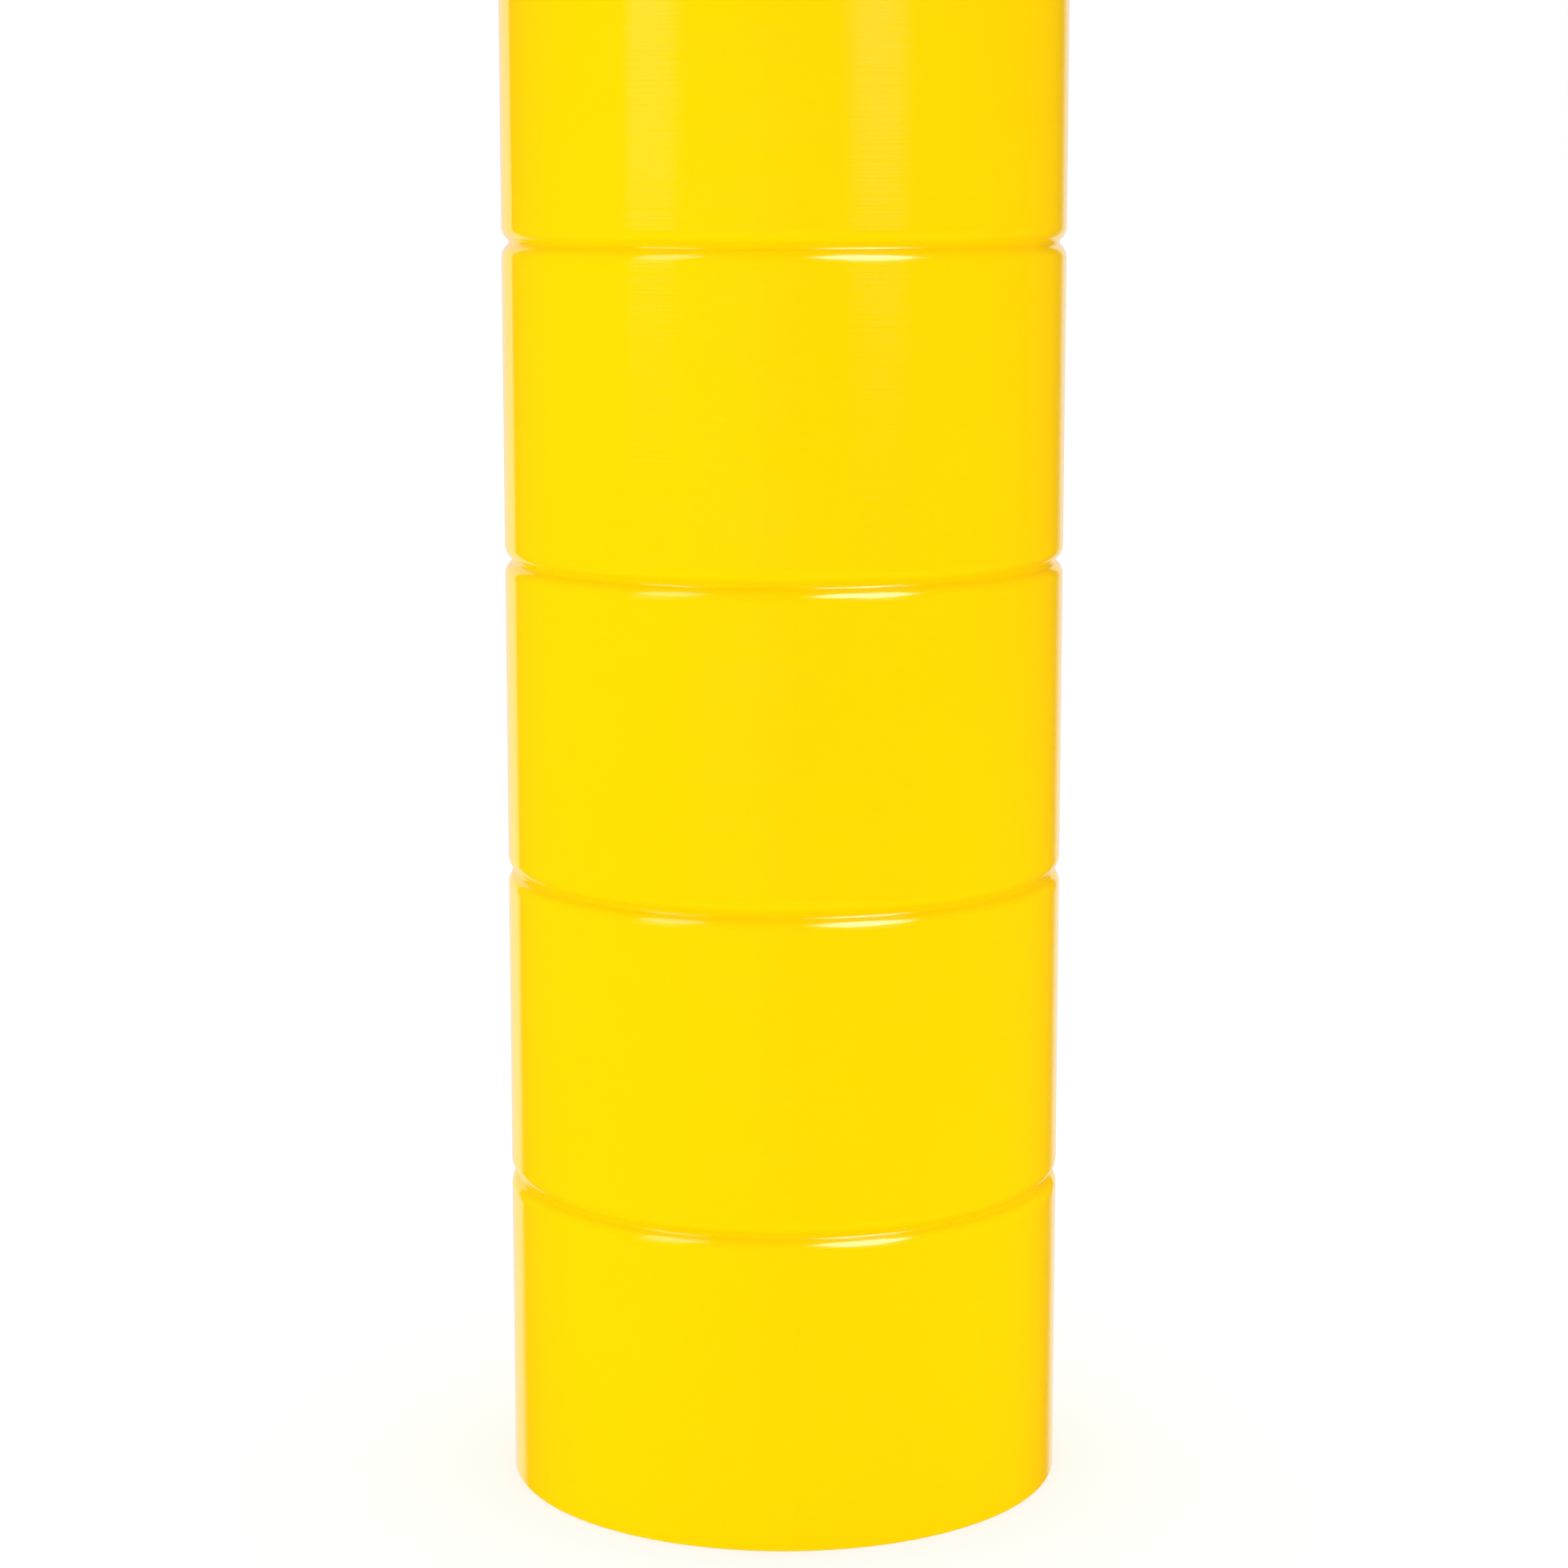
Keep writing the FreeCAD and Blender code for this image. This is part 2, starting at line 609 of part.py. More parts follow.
def make_cap_seal(doc):
    """The ring in the spigot's groove that closes the joint with the sleeve."""
    body = make_body(doc, "cap_seal", SLEEVE_TOP)
    turn_profile(body, "seal_band", band(
        f"{SPIGOT_RADIUS} - Dims.seal_depth + Dims.seal_clearance",
        f"{SLEEVE_BORE} - Dims.seal_clearance",
        "-Dims.seal_level + Dims.seal_clearance",
        "-Dims.seal_level + Dims.seal_height - Dims.seal_clearance"))


def make_cap_plug(doc):
    """The lid over the bolt's recess, with a skirt that fits it and a top that follows the dome."""
    body = make_body(doc, "cap_plug", SLEEVE_TOP)
    rim = f"({LID_RADIUS} - Dims.lid_gap)"
    skirt = "Dims.recess_radius - Dims.plug_clearance"
    skirt_foot = f"{LID_SEAT} - Dims.plug_skirt_depth"
    under = f"{LID_SEAT} + Dims.lid_thickness - Dims.plug_skirt_wall"
    turn_profile(body, "plug_lid", [
        ("0", under),
        (f"{skirt} - Dims.plug_skirt_wall", under),
        (f"{skirt} - Dims.plug_skirt_wall", skirt_foot),
        (f"{skirt} - Dims.lead_in", skirt_foot),
        (skirt, f"{skirt_foot} + Dims.lead_in"),
        (skirt, LID_SEAT),
        (rim, LID_SEAT),
        (rim, dome_level(rim), "Dims.dome_radius"),
        ("0", "Dims.groove_pitch"),
    ])


def make_cap_bolt(doc):
    """The hexagon bolt that holds the cap on the post, its head's corners turned off."""
    body = make_body(doc, "cap_bolt", f"{SLEEVE_TOP} + {RECESS_FLOOR} + Dims.washer_thickness")
    head = make_sketch(body, "bolt_head_outline", "XY_Plane")
    hexagon(head, "Dims.bolt_flats")
    pad(body, head, "bolt_head_block", "Dims.bolt_head")
    corner = "Dims.bolt_flats / sqrt(3)"
    turn_profile(body, "bolt_corners", [
        ("Dims.bolt_flats / 2", "Dims.bolt_head"),
        (f"{corner} + Dims.cut_margin", "Dims.bolt_head - Dims.bolt_chamfer - Dims.cut_margin / sqrt(3)"),
        (f"{corner} + Dims.cut_margin", "Dims.bolt_head + Dims.cut_margin"),
        ("Dims.bolt_flats / 2", "Dims.bolt_head + Dims.cut_margin"),
    ], kind="PartDesign::Groove")
    turn_profile(body, "bolt_shank", [
        ("0", "-Dims.bolt_length"),
        ("Dims.bolt_size / 2 - Dims.bolt_chamfer", "-Dims.bolt_length"),
        ("Dims.bolt_size / 2", "-Dims.bolt_length + Dims.bolt_chamfer"),
        ("Dims.bolt_size / 2", "Dims.bolt_chamfer"),
        ("0", "Dims.bolt_chamfer"),
    ])


def make_bolt_washer(doc):
    body = make_body(doc, "bolt_washer", f"{SLEEVE_TOP} + {RECESS_FLOOR}")
    turn_profile(body, "washer_band", band(
        "Dims.bolt_hole / 2", "Dims.washer_radius", "0", "Dims.washer_thickness"))


def check(doc):
    """Stop if any object failed, or if a cut or a pattern left its base as it was."""
    for item in doc.Objects:
        if {"Invalid", "Error"} & set(item.State):
            raise RuntimeError(f"{item.Label} did not compute: {item.State}")
        if not item.TypeId.endswith(("Pocket", "Groove", "Pattern")):
            continue
        volumes = item.Shape.Volume, item.BaseFeature.Shape.Volume
        if math.isclose(*volumes, rel_tol=SAME_VOLUME):
            raise RuntimeError(f"{item.Label} changed nothing")


def export(doc):
    """Write each sub-part to a STEP file named after its label."""
    os.makedirs("parts", exist_ok=True)
    for body in doc.findObjects("PartDesign::Body"):
        shape = body.Shape
        if shape.isNull() or not shape.isValid() or len(shape.Solids) != 1:
            raise RuntimeError(f"{body.Label} is not one valid solid")
        shape.exportStep(f"parts/{body.Label}.step")
        print(f"{body.Label}: {shape.Volume / 1000:.1f} cm3, top at {shape.BoundBox.ZMax:.2f} mm")


def main():
    doc = FreeCAD.newDocument("safety_bollard")
    make_sheet(doc)
    make_base_plate(doc)
    make_post_tube(doc)
    make_gusset_plates(doc)
    make_post_top_plate(doc)
    make_weld_nut(doc)
    make_foot_ring(doc)
    make_support_collar(doc)
    make_bumper_rings(doc)
    make_spacer_tubes(doc)
    make_clamp_collar(doc)
    make_clamp_screw(doc)
    make_sleeve(doc)
    make_cap(doc)
    make_cap_hub(doc)
    make_cap_seal(doc)
    make_cap_plug(doc)
    make_bolt_washer(doc)
    make_cap_bolt(doc)
    doc.recompute()
    check(doc)
    export(doc)


main()
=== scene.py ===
"""The look of the safety bollard: its turned, moulded and welded pieces, their materials, and a studio.

Metres. The axis of the bollard is the Z axis and the floor is at zero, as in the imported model.
"""

import json
import math

import bmesh
import bpy
from mathutils import Matrix, Vector
from mathutils.geometry import tessellate_polygon

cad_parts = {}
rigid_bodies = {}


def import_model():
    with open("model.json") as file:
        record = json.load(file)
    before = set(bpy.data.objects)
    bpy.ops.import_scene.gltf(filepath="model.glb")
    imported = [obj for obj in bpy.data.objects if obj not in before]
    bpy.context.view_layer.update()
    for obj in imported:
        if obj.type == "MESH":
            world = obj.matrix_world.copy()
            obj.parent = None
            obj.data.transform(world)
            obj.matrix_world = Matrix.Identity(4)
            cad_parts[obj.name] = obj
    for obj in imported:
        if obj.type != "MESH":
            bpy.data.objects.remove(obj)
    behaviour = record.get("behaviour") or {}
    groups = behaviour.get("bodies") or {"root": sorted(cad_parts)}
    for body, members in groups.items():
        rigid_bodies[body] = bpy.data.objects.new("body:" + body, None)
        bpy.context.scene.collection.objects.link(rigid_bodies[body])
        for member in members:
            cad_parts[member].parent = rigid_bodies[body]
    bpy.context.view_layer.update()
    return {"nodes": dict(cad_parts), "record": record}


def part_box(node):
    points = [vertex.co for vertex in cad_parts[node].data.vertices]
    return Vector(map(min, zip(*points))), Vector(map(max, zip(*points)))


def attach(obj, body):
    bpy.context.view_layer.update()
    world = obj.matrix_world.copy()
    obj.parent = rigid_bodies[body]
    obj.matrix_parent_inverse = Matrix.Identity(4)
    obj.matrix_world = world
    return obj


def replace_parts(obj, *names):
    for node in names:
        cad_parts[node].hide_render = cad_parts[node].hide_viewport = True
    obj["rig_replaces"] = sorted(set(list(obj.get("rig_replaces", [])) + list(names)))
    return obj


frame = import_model()

MM = 0.001

# The sleeve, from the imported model
SLEEVE_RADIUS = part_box("sleeve")[1].x
SLEEVE_TOP = 812.8 * MM
SEGMENTS = 8
PITCH = SLEEVE_TOP / SEGMENTS
SLEEVE_WALL = 6 * MM
SLEEVE_BORE = SLEEVE_RADIUS - SLEEVE_WALL

# The grooves: two convex lips and a concave root
GROOVE_DEPTH = 2.3 * MM
LIP = 5 * MM
ROOT = 1.2 * MM
LIP_REACH = math.degrees(math.acos((LIP - GROOVE_DEPTH) / LIP))
LIP_HEIGHT = LIP * math.sin(math.radians(LIP_REACH))

# How far edges are broken
EDGE = 0.5 * MM
TUBE_EDGE = 0.3 * MM
WASHER_EDGE = 0.4 * MM
TOP_PLATE_EDGE = 0.6 * MM
BASE_PLATE_EDGE = 0.8 * MM

# The cap: a shallow dome with a rounded crown, and a hole for the lid
TOTAL_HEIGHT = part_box("cap_plug")[1].z
CAP_WALL = 5 * MM
CROWN_RADIUS = 22 * MM
CROWN_CENTRE = SLEEVE_RADIUS - CROWN_RADIUS
DOME_RADIUS = 580 * MM
CROWN_LEVEL = TOTAL_HEIGHT - DOME_RADIUS + math.sqrt((DOME_RADIUS - CROWN_RADIUS) ** 2 - CROWN_CENTRE**2)
CROWN_LEAN = math.degrees(math.acos(CROWN_CENTRE / (DOME_RADIUS - CROWN_RADIUS)))
SPIGOT_RADIUS = SLEEVE_BORE - 0.1 * MM
SPIGOT_WALL = 5 * MM
SEAL_DEPTH = 2.4 * MM
SEAL_CLEARANCE = 0.05 * MM
LEAD_IN = 1 * MM
LID_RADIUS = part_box("cap_plug")[1].x
LID_GAP = 0.3 * MM
LID_THICKNESS = 5.5 * MM
SKIRT_RADIUS = 30.94 * MM
SKIRT_WALL = 3.4 * MM
LID_EDGE = 0.8 * MM
SCOOP_RADIUS = 6 * MM
SCOOP_DEPTH = 1.8 * MM

# The post and its foot
POST_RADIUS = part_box("post_tube")[1].x
POST_WALL = 5.5 * MM
FITTING_BORE = POST_RADIUS + 0.05 * MM
PLATE_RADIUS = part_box("base_plate")[1].x
PLATE_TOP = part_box("base_plate")[1].z
ANCHOR_CIRCLE = 62 * MM
ANCHOR_HOLE = 7 * MM
ANCHORS = 4
DRAIN_HOLE = 10 * MM
GUSSETS = 4
GUSSET_THICKNESS = 6 * MM
GUSSET_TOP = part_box("gusset_plate_1")[1].z
GUSSET_REACH = 26 * MM
GUSSET_LEDGE = 9 * MM
GUSSET_TOE = 8 * MM
GUSSET_SNIPE = 7 * MM

# The foot ring, whose lip reaches over the base plate's rim
FOOT_RING_CLEARANCE = 0.06 * MM
FOOT_RING_LIP = 4 * MM
FOOT_RING_LIP_HEIGHT = 3 * MM
FOOT_RING_EDGE = 0.4 * MM

# Welds: their size and how uneven they are, the heights of the waves as parts of the size
GUSSET_WELD = 4 * MM
POST_WELD = 6 * MM
WELD_TOE = 12  # degrees
WELD_SINK = 0.1
WELD_END_GAP = 2 * MM
WELD_RING_SPACING = 0.4 * MM
WELD_RIPPLE = 1.8 * MM
RIPPLE_HEIGHT = 0.05
STRAIGHT_WAVE = 9, 0.05  # how fast, how high
ROUND_WAVES = (7, 0.03), (19, 0.02)  # how many, how high
WELD_END_LOSS = 0.9
WELD_END_SHARPNESS = 12
SEAM_BULGE = 0.8 * MM
SEAM_HALF_WIDTH = 3 * SEAM_BULGE

# The bumper rings: a hub, a rim and spokes, with pockets either side of a web
BUMPER_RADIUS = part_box("bumper_ring_lower")[1].x
BUMPER_HUB = 6 * MM
BUMPER_RIM = 6.5 * MM
BUMPER_SPOKE = 6 * MM
BUMPER_SPOKES = 10
BUMPER_WEB = 5 * MM
BUMPER_EDGE = 4 * MM
POCKET_CORNER = 3.5 * MM
POCKET_DRAFT = 0.5 * MM
POCKET_MOUTH = 1 * MM
POCKET_FLOOR_BEND = 2 * MM
PARTING_LINE = 0.25 * MM

# Bolts
BOLT_FLATS = 18 * MM
BOLT_HEAD = 7.5 * MM
BOLT_RADIUS = 6 * MM
BOLT_HOLE = 6.75 * MM
THREAD_PITCH = 1.75 * MM
THREAD_DEPTH = 1.07 * MM
THREAD_STEEPNESS = 1.2
THREAD_RINGS = 12  # rings of vertices for each turn
BOLT_SHOULDER = 3 * MM
BOLT_CHAMFER = 1.2 * MM
BOLT_CHAMFER_RINGS = 6
WASHER_FACE = 0.4 * MM
SCREW_OFFSET = 51.5 * MM
SCREW_RADIUS = 3 * MM
SCREW_HALF_LENGTH = 13 * MM
SCREW_HEAD_RADIUS = 5 * MM
SCREW_HEAD = 6 * MM
SCREW_KEY = 5 * MM
SCREW_KEY_DEPTH = 3 * MM
KNURL_DEPTH = 0.05 * MM

# The camera: its distance in sleeve radii, its height in groove pitches, its tilt down and its lens in mm
CAMERA_DISTANCE = 13.44
CAMERA_HEIGHT = 4.23
CAMERA_TILT = 9.33
CAMERA_LENS = 86.14

# The studio: distances in metres, and bearings in degrees to the right of the front
FLOOR_RADIUS = 40.0
LAMP_DISTANCE = 3.0
FRONT_DISTANCE = 1.2
FOOT_DISTANCE = 0.5
BACKDROP_BEARING = 185.7
LEFT_BEARING = -53
RIGHT_BEARING = 37
FRONT_BEARING = -16
RIM_BEARING = 130
FOOT_BEARING = 95

# How finely the meshes are made
ROUND_STEPS = 288
SMALL_STEPS = 192
BOLT_STEPS = 96
HOLE_STEPS = 64
SHARP_ANGLE = 40
SUPPORT = 0.2 * MM  # how near the ends of a long straight the rings that keep it flat are
LONG_STRAIGHT = 3 * MM


# Outlines: lists of (radius, height) or (x, y) points


def arc(centre, radius, start, end, steps=6):
    """Points along an arc, both ends included, its angles in degrees from the outward direction."""
    points = []
    for step in range(steps + 1):
        angle = math.radians(start + (end - start) * step / steps)
        points.append((centre[0] + radius * math.cos(angle), centre[1] + radius * math.sin(angle)))
    return points


def circle(centre, radius, steps):
    return arc(centre, radius, 0, 360, steps)[:-1]


def rounded(corners, steps=4):
    """A closed outline whose corners are rounded: each corner is (x, y, rounding)."""
    points = []
    for number, (across, along, rounding) in enumerate(corners):
        here = Vector((across, along))
        if not rounding:
            points.append((across, along))
            continue
        back = (Vector(corners[number - 1][:2]) - here).normalized()
        ahead = (Vector(corners[(number + 1) % len(corners)][:2]) - here).normalized()
        half = back.angle(ahead) / 2
        centre = here + (back + ahead).normalized() * (rounding / math.sin(half))
        reach = rounding / math.tan(half)
        first = here + back * reach - centre
        last = here + ahead * reach - centre
        start = math.degrees(math.atan2(first.y, first.x))
        bend = (math.degrees(math.atan2(last.y, last.x)) - start + 180) % 360 - 180
        points += arc(centre, rounding, start, start + bend, steps)
    return points


def supported(outline):
    """The outline with points near both ends of its long straights, so that they are shaded flat."""
    points = []
    for number, point in enumerate(outline):
        points.append(point)
        here = Vector(point)
        way = Vector(outline[(number + 1) % len(outline)]) - here
        if way.length > LONG_STRAIGHT:
            ends = (SUPPORT / way.length, 1 - SUPPORT / way.length)
            points += [tuple(here + way * part) for part in ends]
    return points


def inset(loop, distance):
    """An anticlockwise closed loop drawn in by a distance, with its corners mitred."""
    points = []
    for number, point in enumerate(loop):
        here = Vector(point)
        back = (here - Vector(loop[number - 1])).normalized()
        ahead = (Vector(loop[(number + 1) % len(loop)]) - here).normalized()
        inward = Vector((-back.y - ahead.y, back.x + ahead.x)).normalized()
        mitre = inward.dot(Vector((-ahead.y, ahead.x)))
        points.append(here + inward * (distance / mitre))
    return points


def groove(level):
    """The outline of one groove, upwards: lower lip, root and upper lip."""
    bend = LIP + ROOT
    half_height = math.sqrt(bend**2 - (bend - GROOVE_DEPTH) ** 2)
    reach = math.degrees(math.atan2(half_height, bend - GROOVE_DEPTH))
    lip_centre = SLEEVE_RADIUS - LIP
    root_centre = SLEEVE_RADIUS - GROOVE_DEPTH + ROOT
    points = arc((lip_centre, level - half_height), LIP, 0, reach, steps=8)
    points += arc((root_centre, level), ROOT, 180 + reach, 180 - reach)[1:-1]
    points += arc((lip_centre, level + half_height), LIP, -reach, 0, steps=8)
    return points


def dome_level(radius, depth=0.0):
    """The height of the cap's domed top, or of the surface a depth below it, at a radius."""
    return TOTAL_HEIGHT - DOME_RADIUS + math.sqrt((DOME_RADIUS - depth) ** 2 - radius**2)


def dome_arc(first, last, depth=0.0, steps=20):
    """Points on the dome, or a depth below it, from one radius to another."""
    radii = [first + (last - first) * step / steps for step in range(steps + 1)]
    return [(radius, dome_level(radius, depth)) for radius in radii]


# Meshes


def link(name, mesh, body, slot, *replaced):
    """Put a mesh in the scene as a piece that rides on a body and has its slot's material."""
    piece = bpy.data.objects.new(name, mesh)
    bpy.context.scene.collection.objects.link(piece)
    mesh.materials.append(MATERIALS[slot])
    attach(piece, body)
    if replaced:
        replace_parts(piece, *replaced)
    return piece


def finish_mesh(name, work, sharp_angle=SHARP_ANGLE):
    """Turn a bmesh into a mesh whose sharp corners stay sharp."""
    bmesh.ops.recalc_face_normals(work, faces=work.faces)
    mesh = bpy.data.meshes.new(name)
    work.to_mesh(mesh)
    work.free()
    mesh.set_sharp_from_angle(angle=math.radians(sharp_angle))
    return mesh


def bridge(work, ring, other):
    """Smooth faces between two closed rings of vertices; a vertex may be repeated in a ring."""
    for number in range(len(ring)):
        after = (number + 1) % len(ring)
        corners = dict.fromkeys([ring[number], ring[after], other[after], other[number]])
        if len(corners) > 2:
            work.faces.new(list(corners)).smooth = True


def fill_flat(work, *rings):
    """A flat face inside the first ring of vertices, with the other rings as holes in it."""
    corners = [vertex for ring in rings for vertex in ring]
    for triangle in tessellate_polygon([[vertex.co for vertex in ring] for ring in rings]):
        work.faces.new([corners[index] for index in triangle])


def turn(work, profile, steps=ROUND_STEPS, reshape=None):
    """Revolve a closed outline about the Z axis; a point on the axis becomes one vertex.

    reshape(radius, height, angle) gives the radius and height that a point really has there.
    """
    rings = []
    for radius, height in supported(profile):
        if radius == 0:
            rings.append([work.verts.new((0, 0, height))] * steps)
            continue
        ring = []
        for step in range(steps):
            angle = 2 * math.pi * step / steps
            across, along = reshape(radius, height, angle) if reshape else (radius, height)
            ring.append(work.verts.new((across * math.cos(angle), across * math.sin(angle), along)))
        rings.append(ring)
    for ring, other in zip(rings, rings[1:] + rings[:1]):
        bridge(work, ring, other)


def lathe(name, profile, body, slot, *replaced, steps=ROUND_STEPS, reshape=None):
    work = bmesh.new()
    turn(work, profile, steps, reshape)
    return link(name, finish_mesh(name, work), body, slot, *replaced)


def broken_edges(low, high, edge, steps=3):
    """A wall's (inset, level) steps from low to high, with both its edges rounded inwards."""
    foot = arc((edge, low + edge), edge, -90, -180, steps)
    head = arc((edge, high - edge), edge, 180, 90, steps)
    return foot + [(0, low + edge + SUPPORT), (0, high - edge - SUPPORT)] + head


def raise_wall(work, loop, steps, place=None):
    """Rings of vertices for a loop at each (inset, level), joined by faces; returns the rings."""
    rings = []
    for distance, level in steps:
        points = [(*point, level) for point in inset(loop, distance)]
        rings.append([work.verts.new(place(*point) if place else point) for point in points])
    for ring, other in zip(rings, rings[1:]):
        bridge(work, ring, other)
    return rings


def slab(name, outer, holes, low, high, edge, body, slot, *replaced, place=None):
    """A plate with broken edges, from its anticlockwise outline and the outlines of its holes."""
    work = bmesh.new()
    walls = [raise_wall(work, outer, broken_edges(low, high, edge), place)]
    hole_steps = [(-distance, level) for distance, level in broken_edges(low, high, edge)]
    walls += [raise_wall(work, hole, hole_steps, place) for hole in holes]
    for end in (0, -1):
        fill_flat(work, *[rings[end] for rings in walls])
    return link(name, finish_mesh(name, work), body, slot, *replaced)


# Materials


def make_material(name, **sockets):
    """A principled material with its plain settings on its own sockets."""
    material = bpy.data.materials.new(name)
    material.use_nodes = True
    shader = material.node_tree.nodes["Principled BSDF"]
    for socket, value in sockets.items():
        shader.inputs[socket.replace("_", " ")].default_value = value
    return material, material.node_tree, shader


def stretched_noise(tree, scales, detail=2.0, roughness=0.5):
    """A noise whose grain has its own fineness along X, Y and Z, in grains per metre."""
    place = tree.nodes.new("ShaderNodeTexCoord")
    stretch = tree.nodes.new("ShaderNodeMapping")
    stretch.inputs["Scale"].default_value = scales
    grain = tree.nodes.new("ShaderNodeTexNoise")
    grain.inputs["Scale"].default_value = 1.0
    grain.inputs["Detail"].default_value = detail
    grain.inputs["Roughness"].default_value = roughness
    tree.links.new(place.outputs["Object"], stretch.inputs["Vector"])
    tree.links.new(stretch.outputs["Vector"], grain.inputs["Vector"])
    return grain.outputs["Fac"]


def spread(tree, value, low, high, from_low=0.3, from_high=0.7):
    """Map a noise value to a range of plain numbers."""
    mapping = tree.nodes.new("ShaderNodeMapRange")
    mapping.inputs["From Min"].default_value = from_low
    mapping.inputs["From Max"].default_value = from_high
    mapping.inputs["To Min"].default_value = low
    mapping.inputs["To Max"].default_value = high
    tree.links.new(value, mapping.inputs["Value"])
    return mapping.outputs["Result"]


def mix_colours(tree, value, first, second):
    mixer = tree.nodes.new("ShaderNodeMix")
    mixer.data_type = "RGBA"
    tree.links.new(value, mixer.inputs["Factor"])
    for socket, colour in (("A", first), ("B", second)):
        colour_input = next(i for i in mixer.inputs if i.name == socket and i.type == "RGBA")
        if isinstance(colour, tuple):
            colour_input.default_value = (*colour, 1.0)
        else:
            tree.links.new(colour, colour_input)
    return next(o for o in mixer.outputs if o.type == "RGBA")


def bump(tree, shader, layers):
    """Stack bump layers, each (height value, strength, distance), under the shader's normal."""
    normal = None
    for value, strength, distance in layers:
        layer = tree.nodes.new("ShaderNodeBump")
        layer.inputs["Strength"].default_value = strength
        layer.inputs["Distance"].default_value = distance
        tree.links.new(value, layer.inputs["Height"])
        if normal:
            tree.links.new(normal, layer.inputs["Normal"])
        normal = layer.outputs["Normal"]
    tree.links.new(normal, shader.inputs["Normal"])


def yellow_plastic():
    """Glossy yellow polyethylene: fine turning marks round it and faint drawing streaks up it."""
    material, tree, shader = make_material("yellow_plastic", IOR=1.5, Specular_IOR_Level=0.4)
    cloud = stretched_noise(tree, (9, 9, 5), detail=3.0)
    tree.links.new(
        mix_colours(tree, spread(tree, cloud, 0.0, 1.0), (0.945, 0.560, 0.0), (0.965, 0.590, 0.0)),
        shader.inputs["Base Color"],
    )
    rubbed = stretched_noise(tree, (18, 18, 150), detail=8.0, roughness=0.8)
    tree.links.new(spread(tree, rubbed, 0.02, 0.07), shader.inputs["Roughness"])
    turning = stretched_noise(tree, (8, 8, 1100), detail=5.0, roughness=0.7)
    streaks = stretched_noise(tree, (230, 230, 5), detail=3.0)
    bump(tree, shader, [(turning, 1.0, 0.06 * MM), (streaks, 0.5, 0.05 * MM)])
    return material


def post_steel():
    """Satin grey primer over steel: cloudy colour and a few rubbed streaks."""
    material, tree, shader = make_material("post_steel", Metallic=0.15)
    cloud = stretched_noise(tree, (35, 35, 14), detail=5.0, roughness=0.6)
    paint = mix_colours(tree, spread(tree, cloud, 0.0, 1.0), (0.185, 0.195, 0.205), (0.265, 0.275, 0.285))
    rub = spread(tree, stretched_noise(tree, (260, 260, 30), detail=4.0), 0.0, 0.35, 0.58, 0.76)
    tree.links.new(mix_colours(tree, rub, paint, (0.42, 0.43, 0.43)), shader.inputs["Base Color"])
    tree.links.new(spread(tree, cloud, 0.36, 0.52), shader.inputs["Roughness"])
    peel = stretched_noise(tree, (420, 420, 420))
    bump(tree, shader, [(peel, 0.5, 0.05 * MM), (cloud, 0.3, 0.1 * MM)])
    return material


def weld_steel():
    """The primer over a rougher, darker weld bead."""
    material, tree, shader = make_material("weld_steel", Metallic=0.3)
    scale = stretched_noise(tree, (220, 220, 220), detail=5.0, roughness=0.65)
    tree.links.new(
        mix_colours(tree, spread(tree, scale, 0.0, 1.0), (0.13, 0.135, 0.14), (0.25, 0.255, 0.26)),
        shader.inputs["Base Color"],
    )
    tree.links.new(spread(tree, scale, 0.35, 0.6), shader.inputs["Roughness"])
    bump(tree, shader, [(scale, 0.6, 0.12 * MM)])
    return material


def galvanised_steel():
    """Hot-dip zinc: crystals of different greys, a few millimetres across, dulled in places."""
    material, tree, shader = make_material("galvanised_steel", Metallic=0.5)
    place = tree.nodes.new("ShaderNodeTexCoord")
    crystals = tree.nodes.new("ShaderNodeTexVoronoi")
    crystals.inputs["Scale"].default_value = 170.0
    tree.links.new(place.outputs["Object"], crystals.inputs["Vector"])
    channels = tree.nodes.new("ShaderNodeSeparateColor")
    tree.links.new(crystals.outputs["Color"], channels.inputs["Color"])
    crystal = channels.outputs["Red"]
    zinc = mix_colours(tree, crystal, (0.50, 0.52, 0.54), (0.70, 0.72, 0.73))
    dull = stretched_noise(tree, (40, 40, 40), detail=5.0, roughness=0.65)
    dulled = spread(tree, dull, 0.0, 0.55, 0.45, 0.7)
    tree.links.new(mix_colours(tree, dulled, zinc, (0.44, 0.44, 0.43)), shader.inputs["Base Color"])
    tree.links.new(spread(tree, crystal, 0.34, 0.5, 0.0, 1.0), shader.inputs["Roughness"])
    grain = stretched_noise(tree, (900, 900, 900))
    bump(tree, shader, [(grain, 0.35, 0.03 * MM), (dull, 0.3, 0.15 * MM)])
    return material


def zinc_fastener():
    """Bright zinc plating over turned steel."""
    material, tree, shader = make_material("zinc_fastener", Metallic=0.6)
    tint = stretched_noise(tree, (90, 90, 90), detail=4.0)
    tree.links.new(
        mix_colours(tree, spread(tree, tint, 0.0, 1.0), (0.66, 0.68, 0.71), (0.74, 0.73, 0.69)),
        shader.inputs["Base Color"],
    )
    tree.links.new(spread(tree, tint, 0.3, 0.44), shader.inputs["Roughness"])
    turning = stretched_noise(tree, (60, 60, 3200))
    bump(tree, shader, [(turning, 0.4, 0.015 * MM)])
    return material


